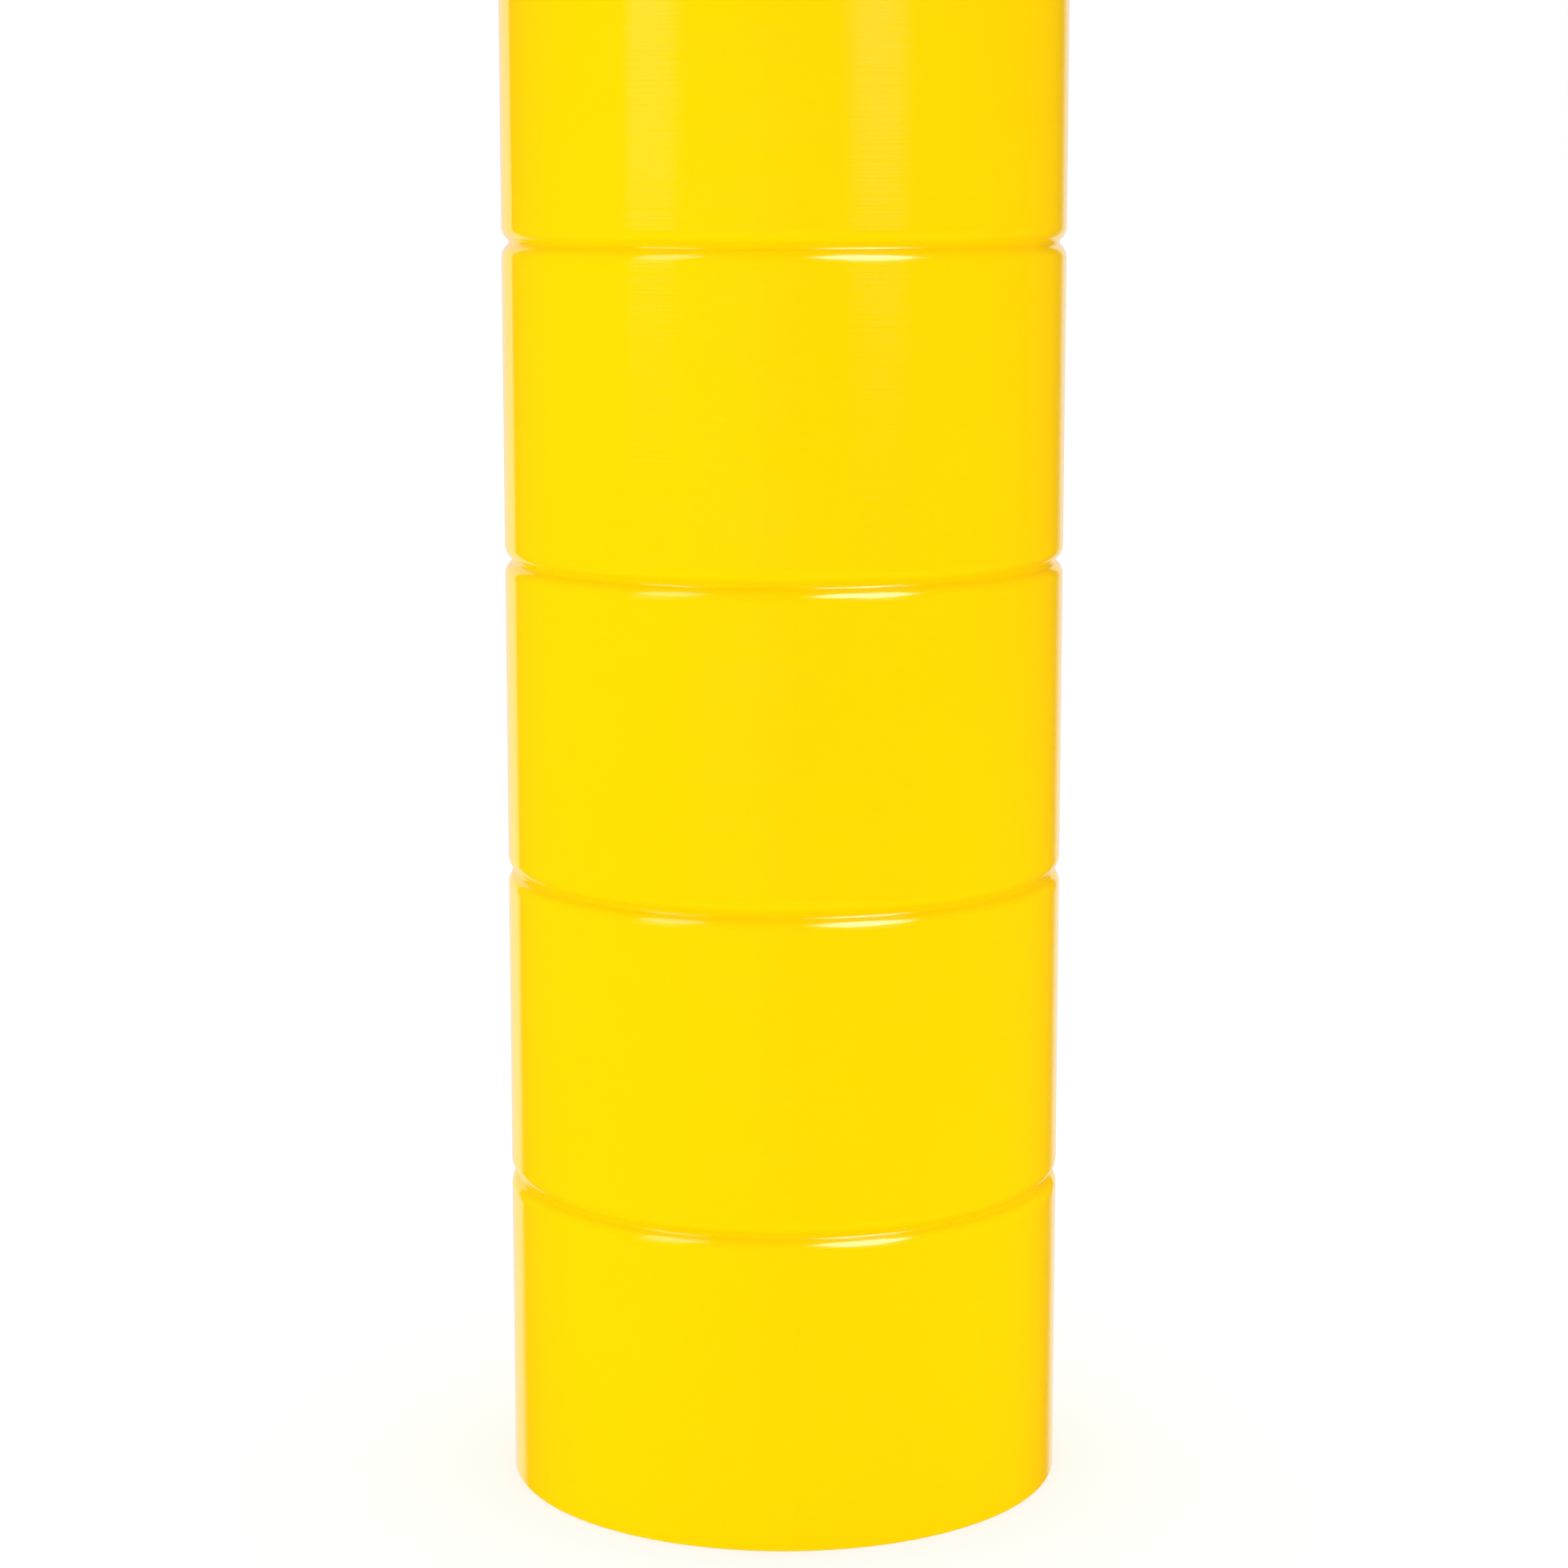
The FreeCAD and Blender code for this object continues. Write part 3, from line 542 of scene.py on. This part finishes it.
def black_rubber():
    """Matt moulded elastomer with a fine grain and a little bloom on it."""
    material, tree, shader = make_material("black_rubber", IOR=1.48)
    bloom = stretched_noise(tree, (45, 45, 45), detail=6.0, roughness=0.65)
    bloomed = spread(tree, bloom, 0.0, 1.0, 0.4, 0.75)
    tree.links.new(
        mix_colours(tree, bloomed, (0.018, 0.018, 0.019), (0.03, 0.03, 0.031)),
        shader.inputs["Base Color"],
    )
    tree.links.new(spread(tree, bloom, 0.5, 0.72), shader.inputs["Roughness"])
    grain = stretched_noise(tree, (1300, 1300, 1300))
    bump(tree, shader, [(grain, 0.5, 0.04 * MM)])
    return material


def grey_plastic():
    """Drawn grey pipe: faint lines along it and a satin skin."""
    material, tree, shader = make_material("grey_plastic", IOR=1.5)
    lines = stretched_noise(tree, (320, 320, 5), detail=3.0)
    cloud = stretched_noise(tree, (18, 18, 9), detail=3.0)
    skin = mix_colours(tree, spread(tree, cloud, 0.0, 1.0), (0.33, 0.345, 0.355), (0.38, 0.39, 0.40))
    tree.links.new(
        mix_colours(tree, spread(tree, lines, 0.0, 0.5), skin, (0.42, 0.43, 0.44)),
        shader.inputs["Base Color"],
    )
    tree.links.new(spread(tree, lines, 0.34, 0.5), shader.inputs["Roughness"])
    bump(tree, shader, [(lines, 0.4, 0.04 * MM)])
    return material


def black_plastic():
    """Moulded black nylon with a fine even texture."""
    material, tree, shader = make_material("black_plastic", IOR=1.53)
    cloud = stretched_noise(tree, (60, 60, 60), detail=4.0)
    tree.links.new(
        mix_colours(tree, spread(tree, cloud, 0.0, 1.0), (0.032, 0.032, 0.035), (0.055, 0.055, 0.06)),
        shader.inputs["Base Color"],
    )
    tree.links.new(spread(tree, cloud, 0.4, 0.55), shader.inputs["Roughness"])
    texture = stretched_noise(tree, (1800, 1800, 1800), detail=1.0)
    bump(tree, shader, [(texture, 0.4, 0.03 * MM)])
    return material


MATERIALS = {
    "yellow_plastic": yellow_plastic(),
    "post_steel": post_steel(),
    "galvanised_steel": galvanised_steel(),
    "zinc_fastener": zinc_fastener(),
    "black_rubber": black_rubber(),
    "grey_plastic": grey_plastic(),
    "black_plastic": black_plastic(),
}
WELD_STEEL = weld_steel()


# Sleeve and cap


def make_sleeve():
    """The pipe with its grooves, half a groove at its top edge and broken edges at its foot."""
    outline = [(SLEEVE_BORE, EDGE), (SLEEVE_BORE + EDGE, 0)]
    outline += arc((SLEEVE_RADIUS - EDGE, EDGE), EDGE, -90, 0, steps=4)
    for number in range(1, SEGMENTS):
        outline += groove(number * PITCH)
    outline += arc((SLEEVE_RADIUS - LIP, SLEEVE_TOP - LIP_HEIGHT), LIP, 0, LIP_REACH, steps=8)
    outline += [(SLEEVE_BORE + EDGE, SLEEVE_TOP), (SLEEVE_BORE, SLEEVE_TOP - EDGE)]
    lathe("sleeve_skin", outline, "sleeve", "yellow_plastic", "sleeve")


def make_cap():
    """The domed cap: spigot and seal groove below, and the lid's hole with a broken edge above."""
    spigot_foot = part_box("cap")[0].z
    seal_low, seal_high = (corner.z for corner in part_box("cap_seal"))
    spigot_bore = SPIGOT_RADIUS - SPIGOT_WALL
    inside = SLEEVE_RADIUS - CAP_WALL
    hole = LID_RADIUS + LID_GAP
    outline = [
        (spigot_bore, spigot_foot),
        (SPIGOT_RADIUS - LEAD_IN, spigot_foot),
        (SPIGOT_RADIUS, spigot_foot + LEAD_IN),
        (SPIGOT_RADIUS, seal_low),
        (SPIGOT_RADIUS - SEAL_DEPTH, seal_low),
        (SPIGOT_RADIUS - SEAL_DEPTH, seal_high),
        (SPIGOT_RADIUS, seal_high),
        (SPIGOT_RADIUS, SLEEVE_TOP),
    ]
    outline += arc((SLEEVE_RADIUS - LIP, SLEEVE_TOP + LIP_HEIGHT), LIP, -LIP_REACH, 0, steps=8)
    outline += arc((CROWN_CENTRE, CROWN_LEVEL), CROWN_RADIUS, 0, CROWN_LEAN, steps=16)
    outline += dome_arc(outline[-1][0], hole + EDGE)[1:]
    outline += arc((hole + EDGE, outline[-1][1] - EDGE), EDGE, 90, 180, steps=3)[1:]
    crown_inside = arc((CROWN_CENTRE, CROWN_LEVEL), CROWN_RADIUS - CAP_WALL, CROWN_LEAN, 0, steps=16)
    outline += dome_arc(hole, crown_inside[0][0], CAP_WALL)
    outline += crown_inside[1:]
    shoulder = SLEEVE_TOP + inside - spigot_bore  # a 45 degree slope down to the spigot's bore
    outline += [(inside, shoulder), (spigot_bore, SLEEVE_TOP)]
    lathe("cap_skin", outline, "cap", "yellow_plastic", "cap")


def make_plug():
    """The lid, whose top follows the dome, with a scoop in its rim for a lever."""
    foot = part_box("cap_plug")[0].z
    seat = TOTAL_HEIGHT - LID_THICKNESS
    under = TOTAL_HEIGHT - SKIRT_WALL
    inner = SKIRT_RADIUS - SKIRT_WALL
    dome_lean = 4  # degrees, about the dome's slope at the lid's rim
    outline = [(inner, foot), (SKIRT_RADIUS - LEAD_IN, foot), (SKIRT_RADIUS, foot + LEAD_IN)]
    outline += [(SKIRT_RADIUS, seat), (LID_RADIUS, seat)]
    rim_centre = (LID_RADIUS - LID_EDGE, dome_level(LID_RADIUS) - LID_EDGE)
    outline += arc(rim_centre, LID_EDGE, 0, 90 - dome_lean, steps=5)
    outline += dome_arc(LID_RADIUS - LID_EDGE, 0, steps=28)[1:]
    outline += [(0, under), (inner - LEAD_IN, under), (inner, under - LEAD_IN)]

    def scooped(radius, height, angle):
        near = math.hypot(radius * math.cos(angle), radius * math.sin(angle) + LID_RADIUS) / SCOOP_RADIUS
        if near >= 1 or height < seat + LID_EDGE:
            return radius, height
        return radius, height - SCOOP_DEPTH * (1 - near**2) ** 2

    lathe("plug_skin", outline, "cap_plug", "yellow_plastic", "cap_plug", reshape=scooped)


def make_cap_seal():
    """The rubber ring in the spigot's groove, with two lips."""
    low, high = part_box("cap_seal")
    inner = SPIGOT_RADIUS - SEAL_DEPTH + SEAL_CLEARANCE
    lip = (high.z - low.z) / 4
    outline = [(inner, low.z)]
    outline += arc((high.x - lip, low.z + lip), lip, -90, 60)
    outline += arc((high.x - lip, high.z - lip), lip, -60, 90)
    outline += [(inner, high.z)]
    lathe("cap_seal_skin", outline, "cap", "black_rubber", "cap_seal")


# The foot ring, and the stack on the post


def make_foot_ring():
    """The nylon ring under the sleeve's foot, with its lip over the base plate's rim."""
    low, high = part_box("foot_ring")
    inner = PLATE_RADIUS + FOOT_RING_CLEARANCE
    lip_inner = PLATE_RADIUS - FOOT_RING_LIP
    lip_under = high.z - FOOT_RING_LIP_HEIGHT
    outline = rounded([
        (inner, low.z, FOOT_RING_EDGE),
        (high.x, low.z, 1.5 * FOOT_RING_EDGE),
        (high.x, high.z, 3 * FOOT_RING_EDGE),
        (lip_inner, high.z, 2 * FOOT_RING_EDGE),
        (lip_inner, lip_under, FOOT_RING_EDGE),
        (inner, lip_under, 0),
    ])
    lathe("foot_ring_skin", outline, "foot", "black_plastic", "foot_ring")


def make_flat_ring(node, body, slot, bore, edge, steps=SMALL_STEPS):
    """A turned ring or tube with broken edges, as large as the node it stands for."""
    low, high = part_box(node)
    outline = rounded([
        (bore, low.z, edge),
        (high.x, low.z, edge),
        (high.x, high.z, edge),
        (bore, high.z, edge),
    ])
    lathe(f"{node}_skin", outline, body, slot, node, steps=steps)


def pocket_outline():
    """One pocket of a bumper ring, anticlockwise: two spokes, the hub and the rim."""
    inner = FITTING_BORE + BUMPER_HUB
    outer = BUMPER_RADIUS - BUMPER_RIM
    corners = []
    for radius, steps, side in ((outer, 8, 1), (inner, 4, -1)):
        half_angle = 180 / BUMPER_SPOKES - math.degrees(math.asin(BUMPER_SPOKE / 2 / radius))
        curve = arc((0, 0), radius, -half_angle * side, half_angle * side, steps)
        roundings = [POCKET_CORNER] + [0] * (steps - 1) + [POCKET_CORNER]
        corners += [(*point, rounding) for point, rounding in zip(curve, roundings)]
    return rounded(corners, steps=6)


def make_bumper_ring(node):
    """A moulded ring: pockets on both sides with rounded mouths and floors, and a parting line."""
    low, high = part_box(node)
    middle = (low.z + high.z) / 2
    depth = (high.z - low.z - BUMPER_WEB) / 2
    sides = arc((BUMPER_EDGE, low.z + BUMPER_EDGE), BUMPER_EDGE, -90, -180, steps=8)
    sides += [(0, middle - 2 * PARTING_LINE), (-PARTING_LINE, middle), (0, middle + 2 * PARTING_LINE)]
    sides += arc((BUMPER_EDGE, high.z - BUMPER_EDGE), BUMPER_EDGE, 180, 90, steps=8)
    rim = circle((0, 0), BUMPER_RADIUS - PARTING_LINE, ROUND_STEPS)
    bore = circle((0, 0), FITTING_BORE, SMALL_STEPS)
    work = bmesh.new()
    outer_rings = raise_wall(work, rim, sides)
    bore_wall = [(-d, level) for d, level in broken_edges(low.z, high.z, POCKET_MOUTH)]
    bore_rings = raise_wall(work, bore, bore_wall)
    mouth_bend = arc((0, POCKET_MOUTH), POCKET_MOUTH, 270, 360, steps=4)
    floor_bend_centre = (POCKET_DRAFT + POCKET_FLOOR_BEND, depth - POCKET_FLOOR_BEND)
    wall = [(d - POCKET_MOUTH, down) for d, down in mouth_bend]
    wall += [(0.9 * POCKET_DRAFT, depth - POCKET_FLOOR_BEND)]  # most of the draft is above the bend
    wall += arc(floor_bend_centre, POCKET_FLOOR_BEND, 180, 90, steps=4)[1:]
    for end, face, inwards in ((0, low.z, 1), (-1, high.z, -1)):
        mouths = []
        for number in range(BUMPER_SPOKES):
            spin = Matrix.Rotation(2 * math.pi * number / BUMPER_SPOKES, 3, "Z")
            steps = [(d, face + inwards * down) for d, down in wall]
            rings = raise_wall(work, pocket_outline(), steps, lambda *point: spin @ Vector(point))
            fill_flat(work, rings[-1])
            mouths.append(rings[0])
        fill_flat(work, outer_rings[end], bore_rings[end], *mouths)
    link(f"{node}_skin", finish_mesh(node, work), "core", "black_rubber", node)


# Base plate, gussets and welds


def make_base_plate():
    """The round plate with its anchor holes and drain hole."""
    holes = [circle((0, 0), DRAIN_HOLE, HOLE_STEPS)]
    for anchor in circle((0, 0), ANCHOR_CIRCLE, ANCHORS):
        holes.append(circle(anchor, ANCHOR_HOLE, HOLE_STEPS))
    rim = circle((0, 0), PLATE_RADIUS, ROUND_STEPS)
    slab("base_plate_skin", rim, holes, 0, PLATE_TOP, BASE_PLATE_EDGE,
         "core", "galvanised_steel", "base_plate")


def around_post(number):
    """Turns a point drawn as (out from the axis, up, sideways) to a gusset's place round the post."""
    spin = Matrix.Rotation(math.radians((number + 0.5) * 360 / GUSSETS), 3, "Z")
    return lambda out, up, sideways: spin @ Vector((out, sideways, up))


def make_gusset(number):
    """A sloping plate with a ledge on top and a snipe over the post's weld."""
    outline = [
        (POST_RADIUS + GUSSET_SNIPE, PLATE_TOP),
        (POST_RADIUS + GUSSET_REACH, PLATE_TOP),
        (POST_RADIUS + GUSSET_REACH, PLATE_TOP + GUSSET_TOE),
        (POST_RADIUS + GUSSET_LEDGE, GUSSET_TOP),
        (POST_RADIUS, GUSSET_TOP),
        (POST_RADIUS, PLATE_TOP + GUSSET_SNIPE),
    ]
    node = f"gusset_plate_{number + 1}"
    half = GUSSET_THICKNESS / 2
    slab(f"{node}_skin", outline, [], -half, half, EDGE, "core", "post_steel", node,
         place=around_post(number))


def weld_section(size):
    """A fillet weld's section: (along one plate, up the other), its back sunk into both."""
    bead = arc((0, 0), size, WELD_TOE, 90 - WELD_TOE, steps=5)
    back = -WELD_SINK * size
    return [(back, back), (size, back), *bead, (back, size)]


def make_weld(name, paths, size, place):
    """Rippled fillet welds along straight paths, each (start, end, across, up) as drawn."""
    wave, wave_height = STRAIGHT_WAVE
    work = bmesh.new()
    for start, end, across, up in paths:
        way = Vector(end) - Vector(start)
        count = round(way.length / WELD_RING_SPACING)
        rings = []
        for step in range(count + 1):
            part = step / count
            taper = math.sqrt(1 - WELD_END_LOSS * abs(2 * part - 1) ** WELD_END_SHARPNESS)
            ripple = RIPPLE_HEIGHT * math.sin(math.pi * step / 2)
            swell = taper * (1 + ripple + wave_height * math.sin(wave * part))
            middle = Vector(start) + way * part
            points = [middle + (Vector(across) * a + Vector(up) * u) * swell for a, u in weld_section(size)]
            rings.append([work.verts.new(place(*point)) for point in points])
        for ring, other in zip(rings, rings[1:]):
            bridge(work, ring, other)
        for ring in (rings[0], rings[-1]):
            fill_flat(work, ring)
    piece = link(name, finish_mesh(name, work, sharp_angle=60), "core", "post_steel")
    piece.data.materials[0] = WELD_STEEL


def make_gusset_welds(number):
    """Welds on both sides of a gusset, along the base plate and up the post."""
    half = GUSSET_THICKNESS / 2
    beside_post = math.sqrt(POST_RADIUS**2 - half**2)
    paths = []
    for side in (-1, 1):
        along_plate = (POST_RADIUS + POST_WELD + WELD_END_GAP, PLATE_TOP, side * half)
        plate_end = (POST_RADIUS + GUSSET_REACH - WELD_END_GAP, PLATE_TOP, side * half)
        paths.append((along_plate, plate_end, (0, 0, side), (0, 1, 0)))
        up_post = (beside_post, PLATE_TOP + POST_WELD + WELD_END_GAP, side * half)
        post_end = (beside_post, GUSSET_TOP - WELD_END_GAP, side * half)
        paths.append((up_post, post_end, (0, 0, side), (1, 0, 0)))
    make_weld(f"gusset_weld_{number + 1}", paths, GUSSET_WELD, around_post(number))


def make_round_weld(name, outline, centre):
    """A rippled weld all round the post; its outline swells about the (radius, height) centre."""
    ripples = round(2 * math.pi * centre[0] / WELD_RIPPLE)

    def rippled(radius, height, angle):
        swell = 1 + RIPPLE_HEIGHT * math.sin(ripples * angle)
        swell += sum(wave_height * math.sin(count * angle) for count, wave_height in ROUND_WAVES)
        return centre[0] + (radius - centre[0]) * swell, centre[1] + (height - centre[1]) * swell

    piece = lathe(name, outline, "core", "post_steel", steps=4 * ripples, reshape=rippled)
    piece.data.materials[0] = WELD_STEEL


def make_post_welds():
    """The fillet round the post's foot, and the seam under the top plate."""
    fillet = [(POST_RADIUS + a, PLATE_TOP + u) for a, u in weld_section(POST_WELD)]
    make_round_weld("post_foot_weld", fillet, (POST_RADIUS, PLATE_TOP))
    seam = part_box("post_top_plate")[0].z
    bulge = arc((0, 0), 1, -90, 90, steps=8)
    bead = [(POST_RADIUS + SEAM_BULGE * out, seam + SEAM_HALF_WIDTH * up) for out, up in bulge]
    bead += [(POST_RADIUS - SEAM_BULGE, seam + side * SEAM_HALF_WIDTH) for side in (1, -1)]
    make_round_weld("top_plate_weld", bead, (POST_RADIUS, seam))


# Bolts


def hexagon_radius(flats, angle):
    """The distance from a hexagon's centre to its side, at an angle from one of its corners."""
    off_middle = angle % math.radians(60) - math.radians(30)
    return flats / 2 / math.cos(off_middle)


def make_cap_bolt():
    """A hexagon bolt with its corners turned off, a washer face and a thread."""
    low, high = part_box("cap_bolt")
    head = high.z - BOLT_HEAD
    thread_top = head - BOLT_SHOULDER
    thread_foot = low.z + BOLT_CHAMFER
    side = BOLT_FLATS / 2
    corner = BOLT_FLATS / math.sqrt(3)
    top_radius = 0.94 * side
    face_radius = 0.96 * side
    outline = [(0, high.z), (top_radius, high.z)]
    for ring in range(1, BOLT_CHAMFER_RINGS + 1):
        outline.append((side, high.z - BOLT_CHAMFER * ring / BOLT_CHAMFER_RINGS))
    outline += [(side, head + WASHER_FACE), (face_radius, head + WASHER_FACE), (face_radius, head)]
    outline += [(BOLT_RADIUS, head), (BOLT_RADIUS, thread_top)]
    rings = round((thread_top - thread_foot) / THREAD_PITCH * THREAD_RINGS)
    for ring in range(1, rings):
        outline.append((BOLT_RADIUS, thread_top + (thread_foot - thread_top) * ring / rings))
    outline += [(BOLT_RADIUS - BOLT_CHAMFER, low.z), (0, low.z)]

    def shaped(radius, height, angle):
        if radius == side:
            turned_off = top_radius + (high.z - height) * (corner - top_radius) / BOLT_CHAMFER
            return min(hexagon_radius(BOLT_FLATS, angle), turned_off), height
        if radius != BOLT_RADIUS or height >= thread_top:
            return radius, height
        phase = (height / THREAD_PITCH - angle / (2 * math.pi)) % 1
        return BOLT_RADIUS - THREAD_DEPTH * min(THREAD_STEEPNESS * abs(2 * phase - 1), 1), height

    lathe("cap_bolt_skin", outline, "cap_bolt", "zinc_fastener", "cap_bolt", steps=BOLT_STEPS, reshape=shaped)


def make_clamp_screw():
    """A socket-head screw across the clamp collar's slot, with a knurled head."""
    middle = (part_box("clamp_screw")[0].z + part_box("clamp_screw")[1].z) / 2
    seat = 2 * SCREW_HALF_LENGTH
    top = seat + SCREW_HEAD
    knurl = SCREW_HEAD_RADIUS - KNURL_DEPTH
    outline = [(0, 0), (SCREW_RADIUS - EDGE, 0), (SCREW_RADIUS, EDGE), (SCREW_RADIUS, seat)]
    outline += [(SCREW_HEAD_RADIUS - EDGE, seat), (knurl, seat + EDGE), (knurl, top - 2 * EDGE)]
    outline += [(SCREW_HEAD_RADIUS - 2 * EDGE, top), (SCREW_KEY / 2, top)]
    outline += [(SCREW_KEY / 2, top - SCREW_KEY_DEPTH), (0, top - SCREW_KEY_DEPTH)]

    def shaped(radius, height, angle):
        if radius == SCREW_KEY / 2:
            return hexagon_radius(SCREW_KEY, angle), height
        if radius == knurl:
            return radius + KNURL_DEPTH * math.cos(BOLT_STEPS / 2 * angle), height
        return radius, height

    screw = lathe("clamp_screw_skin", outline, "core", "zinc_fastener", "clamp_screw",
                  steps=BOLT_STEPS, reshape=shaped)
    lay_down = Matrix.Rotation(math.radians(90), 4, "X")
    screw.data.transform(Matrix.Translation((SCREW_OFFSET, SCREW_HALF_LENGTH, middle)) @ lay_down)


def dress_cad_nodes():
    """Give the nodes that are shown as they are the material of their own slot."""
    replaced = {node for piece in bpy.data.objects for node in piece.get("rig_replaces", [])}
    for part in frame["record"]["subparts"]:
        if part["node"] not in replaced:
            frame["nodes"][part["node"]].data.materials[0] = MATERIALS[part["material_slot"]]


make_sleeve()
make_cap()
make_plug()
make_cap_seal()
make_foot_ring()
make_flat_ring("support_collar", "core", "zinc_fastener", FITTING_BORE, EDGE)
make_flat_ring("post_tube", "core", "post_steel", POST_RADIUS - POST_WALL, TUBE_EDGE)
make_flat_ring("post_top_plate", "core", "post_steel", BOLT_HOLE, TOP_PLATE_EDGE)
make_flat_ring("bolt_washer", "cap_bolt", "zinc_fastener", BOLT_HOLE, WASHER_EDGE, BOLT_STEPS)
for place in ("lower", "upper"):
    make_flat_ring(f"spacer_tube_{place}", "core", "grey_plastic", FITTING_BORE, EDGE)
for place in ("lower", "middle", "upper"):
    make_bumper_ring(f"bumper_ring_{place}")
make_base_plate()
for number in range(GUSSETS):
    make_gusset(number)
    make_gusset_welds(number)
make_post_welds()
make_cap_bolt()
make_clamp_screw()
dress_cad_nodes()


# Studio


def make_camera():
    """A near view of the bollard's lower half from the front, tilted a little down."""
    data = bpy.data.cameras.new("camera")
    data.lens = CAMERA_LENS
    data.clip_start = 0.01
    camera = bpy.data.objects.new("camera", data)
    camera.location = (0, -CAMERA_DISTANCE * SLEEVE_RADIUS, CAMERA_HEIGHT * PITCH)
    camera.rotation_euler = (math.radians(90 - CAMERA_TILT), 0, 0)
    bpy.context.scene.collection.objects.link(camera)
    bpy.context.scene.camera = camera


def panel(name, bearing, distance, width, low, high, radiance, diffuse=True, glossy=True, shape="RECTANGLE"):
    """A soft light that faces the axis from a bearing, in degrees to the right of the front.

    Its radiance is that of a rectangle; an ellipse gives the same light from less area, so it is brighter.
    """
    height = high - low
    data = bpy.data.lights.new(name, "AREA")
    data.shape = shape
    data.size = width
    data.size_y = height
    data.energy = radiance * math.pi * width * height
    light = bpy.data.objects.new(name, data)
    angle = math.radians(bearing)
    middle = (low + high) / 2
    light.location = (distance * math.sin(angle), -distance * math.cos(angle), middle)
    light.rotation_euler = (math.radians(90), 0, angle)
    light.visible_camera = False
    light.visible_diffuse = diffuse
    light.visible_glossy = glossy
    bpy.context.scene.collection.objects.link(light)
    return light


def make_mirrored_panels():
    """Panels that only the gloss shows: a backdrop, two strips, and two high ovals for the grooves."""
    panel("backdrop_panel", BACKDROP_BEARING, LAMP_DISTANCE, width=3.6, low=-2.0, high=3.0,
          radiance=0.75, diffuse=False)
    for side, bearing, radiance in (("left", LEFT_BEARING, 1.45), ("right", RIGHT_BEARING, 1.5)):
        panel(f"{side}_strip", bearing, LAMP_DISTANCE, width=1.06, low=0.52, high=0.95,
              radiance=radiance, diffuse=False)
    left_key = panel("left_key", LEFT_BEARING, LAMP_DISTANCE, width=1.5, low=1.3, high=4.2,
                     radiance=2.8, diffuse=False, shape="ELLIPSE")
    right_key = panel("right_key", RIGHT_BEARING, LAMP_DISTANCE, width=2.4, low=1.3, high=4.6,
                      radiance=9.0, diffuse=False, shape="ELLIPSE")
    sleeve_only = bpy.data.collections.new("sleeve_only")
    sleeve_only.objects.link(bpy.data.objects["sleeve_skin"])
    for key in (left_key, right_key):
        key.light_linking.receiver_collection = sleeve_only


def make_fill_lamps():
    """Soft lamps that the gloss doesn't show, for the front, the sides and the foot."""
    panel("front_fill", FRONT_BEARING, FRONT_DISTANCE, width=0.9, low=0.0, high=0.5,
          radiance=1.9, glossy=False)
    for side, bearing, radiance in (("left", -RIM_BEARING, 1.9), ("right", RIM_BEARING, 1.0)):
        panel(f"{side}_rim_fill", bearing, LAMP_DISTANCE, width=1.5, low=0.0, high=1.2,
              radiance=radiance, glossy=False)
    for side, bearing, radiance in (("left", -FOOT_BEARING, 1.3), ("right", FOOT_BEARING, 1.9)):
        panel(f"{side}_foot_fill", bearing, FOOT_DISTANCE, width=0.4, low=0.0, high=0.2,
              radiance=radiance, glossy=False)


def make_floor():
    """A pale table that is also lit from below, so that the bollard throws only a faint shadow on it."""
    bpy.ops.mesh.primitive_circle_add(vertices=128, radius=FLOOR_RADIUS, fill_type="NGON")
    floor = bpy.context.object
    floor.name = "floor"
    material = make_material(
        "floor",
        Base_Color=(0.45, 0.45, 0.45, 1.0),
        Roughness=0.9,
        Specular_IOR_Level=0.0,
        Emission_Color=(1.0, 1.0, 1.0, 1.0),
        Emission_Strength=0.51,
    )[0]
    material.cycles.emission_sampling = "NONE"
    floor.data.materials.append(material)
    floor.visible_glossy = False


def make_world():
    """An even pale surround for the eye and for soft light, and a dark one for reflections."""
    world = bpy.data.worlds.new("studio")
    world.use_nodes = True
    world.cycles.sampling_method = "NONE"
    tree = world.node_tree
    background = tree.nodes["Background"]
    path = tree.nodes.new("ShaderNodeLightPath")
    soft = (1.14, 1.14, 1.14)
    seen = (1.0, 1.0, 1.0)
    mirrored = (0.03, 0.03, 0.03)
    pale = mix_colours(tree, path.outputs["Is Camera Ray"], soft, seen)
    colour = mix_colours(tree, path.outputs["Is Glossy Ray"], pale, mirrored)
    tree.links.new(colour, background.inputs["Color"])
    bpy.context.scene.world = world


make_camera()
make_floor()
make_world()
make_mirrored_panels()
make_fill_lamps()
bpy.context.scene.view_settings.view_transform = "Standard"
